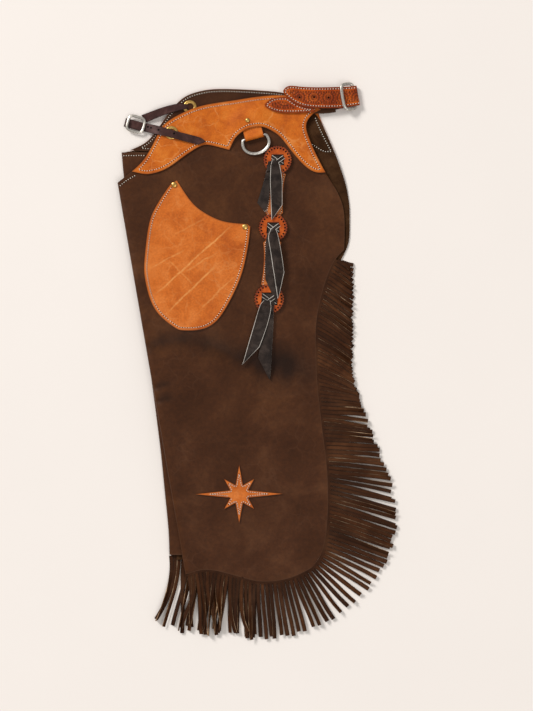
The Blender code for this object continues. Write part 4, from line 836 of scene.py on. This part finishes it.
# Left yoke: tan pull-up leather with a scalloped lower edge, sewn all round over the top of the leg.
# It stands up a little over the ring keeper, where a brass stud goes through it.
yoke = refined("left_yoke_panel", "left_yoke", 3)
settle(yoke)
mark_edges(yoke)
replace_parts(finished(yoke, "chaps", "tan_leather", tan), "left_yoke")
stitches("yoke_seam", yoke, seam_line(yoke, top_rims(yoke)[0], 5.6))
turned_copy("yoke_stud_head", "yoke_stud", brass, "brass")

# Ring keeper and dee: a short tan strap folded round the bar of a nickel dee and caught under the yoke.
# The dee swings freely in the fold.
BAR_CLEAR = 18.0
BAR_EASE = 0.35
nickel = metal("nickel", (0.62, 0.585, 0.53), 0.30, (0.36, 0.33, 0.285))


def swell(piece, extra, clear_of=None):
    """Makes a wire a little stouter to its sides, but not where its bar turns in leather."""
    outward = [vert.normal.copy() for vert in piece.data.vertices]
    for vert, way in zip(piece.data.vertices, outward):
        away = (vert.co.xy - Vector(clear_of[:2])).length / MM if clear_of else BAR_CLEAR * 2
        share = min(max((away - BAR_CLEAR) / 5.0, 0.0), 1.0)
        vert.co += (Vector((way.x, way.y, 0.0)) * extra * share - way * BAR_EASE * (1.0 - share)) * MM
    piece.data.update()


keeper = refined("keeper_strap", "ring_keeper", 3)
mark_edges(keeper, 4.0)
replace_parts(finished(keeper, "chaps", "tan_leather", tan), "ring_keeper")
dee = refined("dee_wire", "dee_ring", 2)
swell(dee, 0.7, frame["joints"][0]["pos_m"])
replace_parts(finished(dee, "dee", "nickel", nickel), "dee_ring")

# Leg-tie strap: tan leather cut in three round lobes with narrow waists, edge stitched to the leg.
# The rosettes and ties are laced through its slots.
strap_tan = leather("strap_tan", {"deep": (0.26, 0.060, 0.012), "mid": (0.40, 0.105, 0.020),
                                  "pale": (0.52, 0.17, 0.040)}, 40.0, 900.0, 0.00022, (0.5, 0.64), TAN_EDGE)[0]
tie_strap = refined("leg_tie_strap", "tie_strap", 3)
settle(tie_strap)
mark_edges(tie_strap, 4.0)
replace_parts(finished(tie_strap, "chaps", "tan_leather", strap_tan), "tie_strap")
stitches("leg_tie_strap_seam", tie_strap, seam_line(tie_strap, top_rims(tie_strap)[0], 2.8), 4.2, 2.4, 1.15)

# Rosettes: red-brown leather discs with a serrated rim, a ring of punched holes and a square window
# for the tie.
ROSETTES = [
    # name, node, x, y, radius, window half width, window half height
    ("rosette_a", "rosette_top", 37.0, 365.0, 25.6, 12.0, 9.5),
    ("rosette_b", "rosette_middle", 29.0, 243.0, 26.0, 12.0, 9.5),
    ("rosette_c", "rosette_bottom", 22.0, 115.0, 27.0, 15.0, 11.5),
]
RIM_TEETH = 34
TOOTH_DEPTH = 1.5
PUNCHED = 24
PUNCH_RADIUS = 1.45
HOLE_DEPTH = 1.6
PUNCH_INSET = 4.6
ROSETTE_THICK = 2.0
ROSETTE_RED = {"deep": (0.27, 0.040, 0.003), "mid": (0.39, 0.066, 0.005), "pale": (0.48, 0.100, 0.012)}


def punch(piece, places, radius, sides=10):
    """Punches round holes into a piece from above, with painted shade, near-black, on their walls and floor, and leaves
    the skin of the back.
    """
    top = surface_of(piece)
    work = bmesh.new()
    for spot in placed(places):
        high = top(spot.x, spot.y)
        if high is not None:
            low = high - HOLE_DEPTH * MM
            move = Matrix.Translation((spot.x, spot.y, low + 5.0 * MM))
            bmesh.ops.create_cone(work, cap_ends=True, segments=sides, radius1=radius * MM, radius2=radius * MM,
                                  depth=10.0 * MM, matrix=move)
    mesh = bpy.data.meshes.new(piece.name + "_punch")
    work.to_mesh(mesh)
    work.free()
    piece.data.materials.append(hole_painted_shade)
    for material in piece.data.materials:
        mesh.materials.append(material)
    for face in mesh.polygons:
        face.material_index = len(piece.data.materials) - 1
    tool = bpy.data.objects.new(piece.name + "_punch", mesh)
    bpy.context.scene.collection.objects.link(tool)
    cut = piece.modifiers.new("punch", "BOOLEAN")
    cut.operation = "DIFFERENCE"
    cut.object = tool
    made = bpy.data.meshes.new_from_object(piece.evaluated_get(bpy.context.evaluated_depsgraph_get()))
    piece.modifiers.clear()
    piece.data = made
    bpy.data.objects.remove(tool)


def ring(x, y, radius, count, shape=None):
    """Points round a circle, each moved in or out by shape."""
    made = []
    for k in range(count):
        angle = 2 * math.pi * k / count
        reach = radius + (shape(k) if shape else 0.0)
        made.append(Vector((x + reach * math.cos(angle), y + reach * math.sin(angle))))
    return made


def within(point, loop):
    inside = False
    for a, b in zip(loop, loop[1:] + loop[:1]):
        if (a.y > point.y) != (b.y > point.y) and point.x < a.x + (b.x - a.x) * (point.y - a.y) / (b.y - a.y):
            inside = not inside
    return inside


def cut_piece(name, outline, holes, lower, thick, inner=()):
    """A leather piece cut to an outline in millimetres, with real holes, laid on a height function."""
    loops = [outline, *holes]
    flat_points = [p for loop in loops for p in loop] + list(inner)
    edges, start = [], 0
    for loop in loops:
        edges += [(start + k, start + (k + 1) % len(loop)) for k in range(len(loop))]
        start += len(loop)
    flat, _, faces, _, _, _ = delaunay_2d_cdt(flat_points, edges, [], 1, 1e-5)
    kept = []
    for face in faces:
        middle = sum((flat[i] for i in face), Vector((0.0, 0.0))) / len(face)
        if within(middle, outline) and not any(within(middle, hole) for hole in holes):
            kept.append(face)
    spots = placed([(p.x, p.y) for p in flat])
    heights = [lower(p.x, p.y) for p in spots]
    points = [Vector((p.x, p.y, z)) for p, z in zip(spots, heights)]
    points += [Vector((p.x, p.y, z + thick * MM)) for p, z in zip(spots, heights)]
    count = len(spots)
    solid = [[i + count for i in face] for face in kept] + [list(reversed(face)) for face in kept]
    used = {(a, b) for face in kept for a, b in zip(face, [*face[1:], face[0]])}
    solid += [[a, b, b + count, a + count] for a, b in used if (b, a) not in used]
    mesh = bpy.data.meshes.new(name)
    mesh.from_pydata(points, [], solid)
    work = bmesh.new()
    work.from_mesh(mesh)
    bmesh.ops.recalc_face_normals(work, faces=work.faces)
    work.to_mesh(mesh)
    work.free()
    return add_piece(name, mesh)


def side_or_face(face):
    return 1 if abs(face.normal.z) < 0.5 else 0


strap_top = surface_of(frame["nodes"]["tie_strap"], frame["nodes"]["left_leg"])
rosette_red = leather("rosette_leather", ROSETTE_RED, 60.0, 1100.0, 0.0002, (0.4, 0.55), (0.12, 0.022, 0.010))[0]
# Painted shade: near-black colour for the inside of punched holes.
hole_painted_shade = rough_side("hole_painted_shade", ((0.006, 0.004, 0.003), (0.010, 0.007, 0.006), (0.016, 0.012, 0.010)))
pale_cut = rough_side("pale_cut", ((0.30, 0.14, 0.06), (0.48, 0.27, 0.13), (0.60, 0.38, 0.21)))
for name, node, x, y, radius, half_width, half_height in ROSETTES:
    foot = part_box(node)[0].z
    plan = [(x - half_width, y - half_height), (x + half_width, y - half_height),
            (x + half_width * 0.86, y + half_height), (x - half_width * 0.86, y + half_height)]
    rosette_height = surface_of(frame["nodes"][node])

    def rosette_lower(at_x, at_y, node_height=rosette_height, base=foot):
        high = node_height(at_x, at_y)
        return (high - ROSETTE_THICK * MM) if high else base

    rim = ring(x, y, radius - 0.3, RIM_TEETH * 4, lambda k: (0.3, -0.4, -TOOTH_DEPTH, -0.4)[k % 4])
    punched = [(p.x, p.y) for p in ring(x, y, radius - PUNCH_INSET, PUNCHED)]
    bands = [p for part in (0.55, 0.72, 0.93) for p in ring(x, y, radius * part, 28)]
    window_loop = [Vector(p) for p in plan]
    bands = [p for p in bands if not within(p, window_loop)]
    rosette = cut_piece(name, rim, [window_loop], rosette_lower, ROSETTE_THICK, bands)
    mark_edges(rosette, 3.5)
    settle(rosette)
    finished(rosette, "chaps", "tooled_leather", rosette_red, pale_cut,
             choose=lambda f: 1 if side_or_face(f) and (f.center.xy / MM - CENTRE_SHIFT
                                                        - Vector((x, y))).length < radius * 0.72 else 0)
    punch(rosette, punched, PUNCH_RADIUS)
    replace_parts(rosette, node)

# Leg ties: near-black flat laces, each crossed in its window and left with two tails. The tails' ends are
# cut to points and the cut edges show paler.
LACE_THICK = 1.6
CUT_LINE = 0.85
LACE = {"deep": (0.011, 0.0064, 0.0046), "mid": (0.020, 0.0122, 0.0090), "pale": (0.036, 0.024, 0.0185)}
TIES = [
    # name, node, knot x, knot y
    ("lace_tie_a", "tie_top", 37.0, 365.0),
    ("lace_tie_b", "tie_middle", 29.0, 243.0),
    ("lace_tie_c", "tie_bottom", 22.0, 115.0),
]
TAILS = {
    # back tail, then front tail: left x, left y, right x, right y, height above the strap
    "lace_tie_a": (
        [(20, 362, 31, 364, 4), (17, 345, 27, 348, 4), (9, 315, 24, 320, 3), (0.5, 288, 22, 296, 2.5),
         (14, 271, 17, 273, 2)],
        [(27, 364, 37, 364, 6), (24.5, 352, 41, 354, 7), (23.5, 325, 45, 330, 6), (24.5, 300, 45.5, 303, 5),
         (25, 284, 45.5, 284, 4.5), (26, 257, 27.5, 258, 4)],
    ),
    "lace_tie_b": (
        [(20, 240, 31, 240, 4), (17, 222, 24, 223, 4), (15, 190, 26, 194, 3), (15, 150, 34, 152, 3),
         (34, 109, 37, 110, 5)],
        [(25, 240, 34, 240, 6), (20.3, 225, 38, 228, 8), (24, 200, 43.5, 200, 8), (29, 168, 49, 163, 8),
         (37, 115, 39, 117, 8)],
    ),
    "lace_tie_c": (
        [(24, 112, 32, 111, 4), (21, 94, 30, 94, 4), (12, 60, 29, 62, 3), (2, 9, 26, 8, 3), (22, -30, 24, -29, 2)],
        [(12, 112, 24, 112, 6), (4.5, 101, 25, 95, 7), (-5, 70, 18, 66, 6), (-15, 36, 4.5, 28.5, 5),
         (-26.5, -4, -25, -2, 4)],
    ),
}


def swept(points, faces, kinds, rows, thick, crown, trimmed=False):
    """Adds a flat lace through rows of (left, right) points, slightly crowned across."""
    base = len(points)
    for index, (left, right) in enumerate(rows):
        before, after = rows[max(index - 1, 0)], rows[min(index + 1, len(rows) - 1)]
        along = (after[0] + after[1]) - (before[0] + before[1])
        up = (right - left).cross(along).normalized()
        up = up if up.z > 0 else -up
        inset = min(CUT_LINE * MM / max((right - left).length, MM), 0.3)
        spots = (0.0, inset, 0.3, 0.5, 0.7, 1.0 - inset, 1.0)
        under = [left.lerp(right, u) + up * crown * (1 - (2 * u - 1) ** 2) for u in spots]
        points.extend([p + up * thick for p in under] + under[::-1])
    across = 7
    size = across * 2
    for ring_index in range(len(rows) - 1):
        for k in range(size):
            a, b = base + ring_index * size + k, base + ring_index * size + (k + 1) % size
            faces.append((a, b, b + size, a + size))
            kinds.append(1 if k in (across - 1, size - 1) or (trimmed and k in (0, across - 2)) else 0)
    for first in (base, base + (len(rows) - 1) * size):
        for k in range(across - 1):
            faces.append((first + k, first + k + 1, first + size - 2 - k, first + size - 1 - k))
            kinds.append(1)


def smooth_rows(rows, per_row=7):
    """Fills in a table of rows along smooth curves, with the last stretch cut straight."""
    filled = []
    for i in range(len(rows) - 2):
        before, after = rows[max(i - 1, 0)], rows[i + 2] if i < len(rows) - 3 else rows[i + 1]
        for k in range(per_row):
            t = k / per_row
            filled.append(tuple(
                0.5 * (2 * b + (c - a) * t + (2 * a - 5 * b + 4 * c - d) * t * t + (3 * b - a - 3 * c + d) * t ** 3)
                for a, b, c, d in zip(before, rows[i], rows[i + 1], after)))
    for k in range(per_row + 1):
        filled.append(tuple(a + (b - a) * k / per_row for a, b in zip(rows[-2], rows[-1])))
    return filled


def lace_tail(points, faces, kinds, rows, twist, trimmed):
    """One tail from its table: the edges' places and heights, rolled a little about its length."""
    filled = smooth_rows(rows)
    edges = []
    for index, (lx, ly, rx, ry, high) in enumerate(filled):
        left, right = placed([(lx, ly), (rx, ry)])
        middle = (left + right) / 2
        base = strap_top(middle.x, middle.y) or 10.0 * MM
        roll = twist * math.sin(math.pi * index / (len(filled) - 1))
        left.z = base + (high + roll) * MM
        right.z = base + (high - roll) * MM
        edges.append((left, right))
    swept(points, faces, kinds, edges, LACE_THICK * MM, 0.9 * MM, trimmed)


def lace_band(points, faces, kinds, ends, width, base, lift, trimmed):
    """One straight band of the lace between two places, arched up by lift."""
    (ax, ay), (bx, by) = ends
    run = Vector((bx - ax, by - ay))
    across = Vector((-run.y, run.x)).normalized() * width / 2
    rows = []
    for k in range(9):
        t = k / 8
        left, right = placed([(ax + run.x * t - across.x, ay + run.y * t - across.y),
                              (ax + run.x * t + across.x, ay + run.y * t + across.y)])
        left.z = right.z = base + lift * math.sin(math.pi * t) * MM
        rows.append((left, right))
    swept(points, faces, kinds, rows, LACE_THICK * MM, 0.5 * MM, trimmed)


def lace_knot(points, faces, kinds, x, y, half_width, half_height, base):
    """The lace in its window: a dark turn across the bottom of it and two bands crossed over that."""
    w, h = half_width - 1.0, half_height - 1.0
    lace_band(points, faces, kinds, ((x - w, y), (x + w, y)), 2 * h, base - 3.2 * MM, 0.2, False)
    lace_band(points, faces, kinds, ((x - w, y + h * 0.7), (x + w * 0.8, y - h)), 6.0, base - 1.6 * MM, 1.4, True)
    lace_band(points, faces, kinds, ((x - w * 0.7, y - h), (x + w, y + h * 0.6)), 6.5, base - 0.8 * MM, 2.6, True)


lace = leather("lace_leather", LACE, 60.0, 1200.0, 0.00018, (0.42, 0.6))[0]
lace_cut = rough_side("lace_cut", ((0.26, 0.23, 0.20), (0.46, 0.42, 0.37), (0.62, 0.58, 0.52)))
for (name, node, x, y), (_, _, _, _, radius, half_width, half_height) in zip(TIES, ROSETTES):
    points, faces, kinds = [], [], []
    back, front = TAILS[name]
    lace_tail(points, faces, kinds, back, -0.8, False)
    lace_tail(points, faces, kinds, front, 1.0, True)
    spot = placed([(x, y)])[0]
    level = strap_top(spot.x + radius * MM * 0.8, spot.y) + ROSETTE_THICK * MM
    lace_knot(points, faces, kinds, x, y, half_width, half_height, level)
    mesh = bpy.data.meshes.new(name)
    mesh.from_pydata(points, [], faces)
    for face, kind in zip(mesh.polygons, kinds):
        face.material_index = kind
    work = bmesh.new()
    work.from_mesh(mesh)
    bmesh.ops.recalc_face_normals(work, faces=work.faces)
    work.to_mesh(mesh)
    work.free()
    tie = add_piece(name, mesh)
    settle(tie)
    finished(tie, "chaps", "lace_leather", lace, lace_cut, choose=lambda face: face.material_index)
    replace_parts(tie, node)

# Front strap: narrow burgundy strap leather in two stretches, from the back grommet to the buckle and on
# over the front grommet to its point. Its holes are punched through.
BURGUNDY = {"deep": (0.028, 0.0095, 0.0075), "mid": (0.046, 0.0175, 0.0145), "pale": (0.075, 0.034, 0.029)}
STRAP_HOLES = [
    # x, y
    (-196.6, 425.3), (-190.8, 423.4), (-177.0, 419.0), (-149.0, 412.3),
]
HOLE_RADIUS = 1.9
TURN_AT = -231.4
PRESSED_TO = -208.0
STRAP_END = -131.0
THREAD_FROM = (-140.0, 461.5)
THREAD_TO = (-121.5, 461.0)


def press_under_buckle(piece):
    """Presses the strap down where the buckle's bars lie on it, and closes its turn to match."""
    for vert in piece.data.vertices:
        x, z = vert.co.x / MM - CENTRE_SHIFT.x, vert.co.z / MM
        if x < TURN_AT:
            vert.co.z = (0.3 + (z - 0.3) * 0.40) * MM
        elif x < PRESSED_TO and z > 2.6:
            vert.co.z = (z - (9.3 - 2.7) * smooth_step((PRESSED_TO - x) / (PRESSED_TO - TURN_AT))) * MM
    piece.data.update()


def thread_through(piece):
    """Draws the end of the strap over the rim of the back grommet and down into its hole."""
    for vert in piece.data.vertices:
        x, y = vert.co.x / MM - CENTRE_SHIFT.x, vert.co.y / MM - CENTRE_SHIFT.y
        part = (x - THREAD_FROM[0]) / (STRAP_END - THREAD_FROM[0])
        if part > 0:
            vert.co.x += (THREAD_TO[0] - STRAP_END) * part * MM
            middle = THREAD_FROM[1] + (THREAD_TO[1] - THREAD_FROM[1]) * part
            vert.co.y = (middle + (y - THREAD_FROM[1]) * (1 - 0.3 * part) + CENTRE_SHIFT.y) * MM
            vert.co.z -= 5.0 * MM * smooth_step(min(max((part - 0.6) / 0.4, 0.0), 1.0))
    piece.data.update()


burgundy = leather("burgundy_strap", BURGUNDY, 45.0, 1000.0, 0.0002, (0.36, 0.52), (0.020, 0.009, 0.009))[0]
strap_tongue = refined("front_strap_tongue", "strap_tongue", 3, -0.85)
press_under_buckle(strap_tongue)
mark_edges(strap_tongue, 3.0)
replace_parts(finished(strap_tongue, "chaps", "strap_leather", burgundy), "strap_tongue")
punch(strap_tongue, STRAP_HOLES, HOLE_RADIUS)
strap_upper = refined("front_strap_upper", "strap_upper", 3)
thread_through(strap_upper)
mark_edges(strap_upper, 3.0)
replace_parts(finished(strap_upper, "chaps", "strap_leather", burgundy), "strap_upper")
turned_copy("grommet_front", "grommet_lower", brass, "brass")
turned_copy("grommet_back", "grommet_upper", brass, "brass")

# Buckle: a nickel frame with rounded corners, a thick roller on its right bar and a prong on the left.
# The strap's bend holds the left bar.
buckle = refined("strap_buckle_frame", "strap_buckle", 2)
swell(buckle, 0.7)
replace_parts(finished(buckle, "chaps", "nickel", nickel), "strap_buckle")

# Back belt: tooled red-brown billet and base, stitched along the edges, on a dark underlay. The billet
# goes round a nickel loop and comes back beneath itself.
BELT_HOLES = [(102.6, 477.5), (128.7, 476.9), (76.5, 477.0)]
FLOWER_ROW = (76.5, 477.0)
FLOWER_PITCH = 26.0
RING_PITCH = 5.4
BORDER_PITCH = 4.6
TOOLED = {"deep": (0.24, 0.030, 0.001), "mid": (0.36, 0.054, 0.002), "pale": (0.46, 0.086, 0.005)}


def mixed_value(tree, factor, first, second):
    """One number where factor is 0 and another where it is 1."""
    kept = calculated(tree, "MULTIPLY", first, calculated(tree, "SUBTRACT", 1.0, factor))
    return calculated(tree, "ADD", kept, calculated(tree, "MULTIPLY", second, factor))


def tooled_finish(name, shades):
    """Stamped leather: rows of small flower-like rings with darker stain in the hollows."""
    material, tree, shader, place, cloud = leather(name, shades, 50.0, 1000.0, 0.00015, (0.34, 0.5),
                                                   (0.12, 0.018, 0.005))
    start = placed([FLOWER_ROW])[0]
    split = add_node(tree, "ShaderNodeSeparateXYZ", i0=place)
    along = add_node(tree, "ShaderNodeMath", {"operation": "WRAP"},
                     i0=calculated(tree, "SUBTRACT", split.outputs["X"], start.x),
                     i1=FLOWER_PITCH * MM / 2, i2=-FLOWER_PITCH * MM / 2).outputs[0]
    across = calculated(tree, "SUBTRACT", split.outputs["Y"], start.y)
    near = calculated(tree, "SQRT", calculated(tree, "ADD", calculated(tree, "MULTIPLY", along, along),
                                               calculated(tree, "MULTIPLY", across, across)))
    rings = calculated(tree, "SINE", calculated(tree, "MULTIPLY", near, 2 * math.pi / (RING_PITCH * MM)))
    turn = calculated(tree, "ARCTAN2", across, along)
    petals = calculated(tree, "SINE", calculated(tree, "MULTIPLY", turn, 16.0))
    groove = ranged(tree, petals, -0.6, 0.4, 0.6, 1.0)
    inside = add_node(tree, "ShaderNodeAttribute", {"attribute_name": "edge"}).outputs["Fac"]
    field = ranged(tree, inside, 0.56, 0.64, 0.0, 1.0)
    border = calculated(tree, "MULTIPLY", ranged(tree, inside, 0.60, 0.66, 0.0, 1.0),
                        ranged(tree, inside, 0.84, 0.90, 1.0, 0.0))
    beads = calculated(tree, "SINE", calculated(tree, "MULTIPLY", split.outputs["X"], 2 * math.pi / (BORDER_PITCH * MM)))
    rings = mixed_value(tree, border, rings, beads)
    relief = calculated(tree, "MULTIPLY", calculated(tree, "MULTIPLY", ranged(tree, rings, -1.0, 1.0, 0.35, 1.0), groove),
                        field)
    base = shader.inputs["Base Color"].links[0].from_socket
    stain = calculated(tree, "MULTIPLY", ranged(tree, relief, 0.2, 0.8, 0.92, 0.0), field)
    tree.links.new(mixed(tree, stain, base, tuple(0.14 * part for part in shades["mid"])),
                   shader.inputs["Base Color"])
    bumped(tree, shader, relief, 0.0012, 0.8)
    return material


def belt_layer(face):
    x = face.center.x / MM - CENTRE_SHIFT.x
    return 1 if face.center.z < 8.0 * MM and x < 146.0 else 0


tooled = tooled_finish("tooled_leather", TOOLED)
belt = refined("back_belt_billet", "back_belt", 3)
settle(belt, 10.0, 4.0)
mark_edges(belt, 12.0)
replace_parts(finished(belt, "chaps", "tooled_leather", tooled, oiled, choose=belt_layer), "back_belt")
for number, chain in enumerate(top_rims(belt)[:2]):
    stitches(f"back_belt_seam_{number}", belt, seam_line(belt, chain, 3.4), 4.8, 2.4, 1.5)
punch(belt, BELT_HOLES, 2.0)
loop = refined("belt_loop_ring", "belt_loop", 2)
swell(loop, 0.8)
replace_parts(finished(loop, "chaps", "nickel", nickel), "belt_loop")

# Appliqué on the lower leg: tan leather cut as a star with long side points, stitched near its edge.
star = refined("star_applique", "star_patch", 3)
settle(star)
mark_edges(star, 4.0)
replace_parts(finished(star, "chaps", "tan_leather", pocket_tan), "star_patch")
stitches("star_seam", star, seam_line(star, top_rims(star)[0], 2.6), 4.2, 2.4, 1.25)

# Stage: a plain warm white sheet of paper, a large soft light from the upper left and a camera straight
# above with a long lens.
PAPER = (0.80, 0.742, 0.693)
PHOTO_WIDTH = 0.9594
PHOTO_HEIGHT = 1.2798
CAMERA_HEIGHT = 4.0
CAMERA_PLACE = (0.01493, 0.01082)
FILM_HEIGHT = 36.0

bpy.ops.mesh.primitive_plane_add(size=24.0, location=(0.0, 0.0, -0.0002))
paper = bpy.context.object
paper.name = "paper"
paper_finish, paper_tree, paper_shader, paper_place = new_finish("paper", 0.9)
paper_fibre = mottle(paper_tree, paper_place, 3.0, 3.0)
paper_tree.links.new(colour_steps(paper_tree, paper_fibre, [(0.3, tuple(0.985 * c for c in PAPER)), (0.7, PAPER)]),
                     paper_shader.inputs["Base Color"])
paper.data.materials.append(paper_finish)


def soft_light(name, place, target, size, power, colour):
    lamp = bpy.data.lights.new(name, "AREA")
    lamp.shape = "DISK"
    lamp.size = size
    lamp.energy = power
    lamp.color = colour
    held = bpy.data.objects.new(name, lamp)
    held.location = place
    held.rotation_euler = (Vector(target) - Vector(place)).to_track_quat("-Z", "Y").to_euler()
    bpy.context.scene.collection.objects.link(held)


soft_light("window_light", (-8.0, 7.3, 7.7), (0.0, 0.0, 0.0), 4.4, 1560.0, (1.0, 0.99, 0.98))
soft_light("fill_light", (1.6, -2.0, 5.4), (0.4, -0.5, 0.0), 4.0, 90.0, (1.0, 0.99, 0.98))
world = bpy.data.worlds.new("room")
world.use_nodes = True
world.node_tree.nodes["Background"].inputs["Color"].default_value = (1.0, 0.99, 0.98, 1.0)
world.node_tree.nodes["Background"].inputs["Strength"].default_value = 0.46
bpy.context.scene.world = world
bpy.context.scene.view_settings.view_transform = "Standard"

lens = bpy.data.cameras.new("overhead")
lens.sensor_fit = "VERTICAL"
lens.sensor_height = FILM_HEIGHT
lens.lens = FILM_HEIGHT * CAMERA_HEIGHT / PHOTO_HEIGHT
camera = bpy.data.objects.new("overhead", lens)
camera.location = (*CAMERA_PLACE, CAMERA_HEIGHT + 0.012)
bpy.context.scene.collection.objects.link(camera)
bpy.context.scene.camera = camera
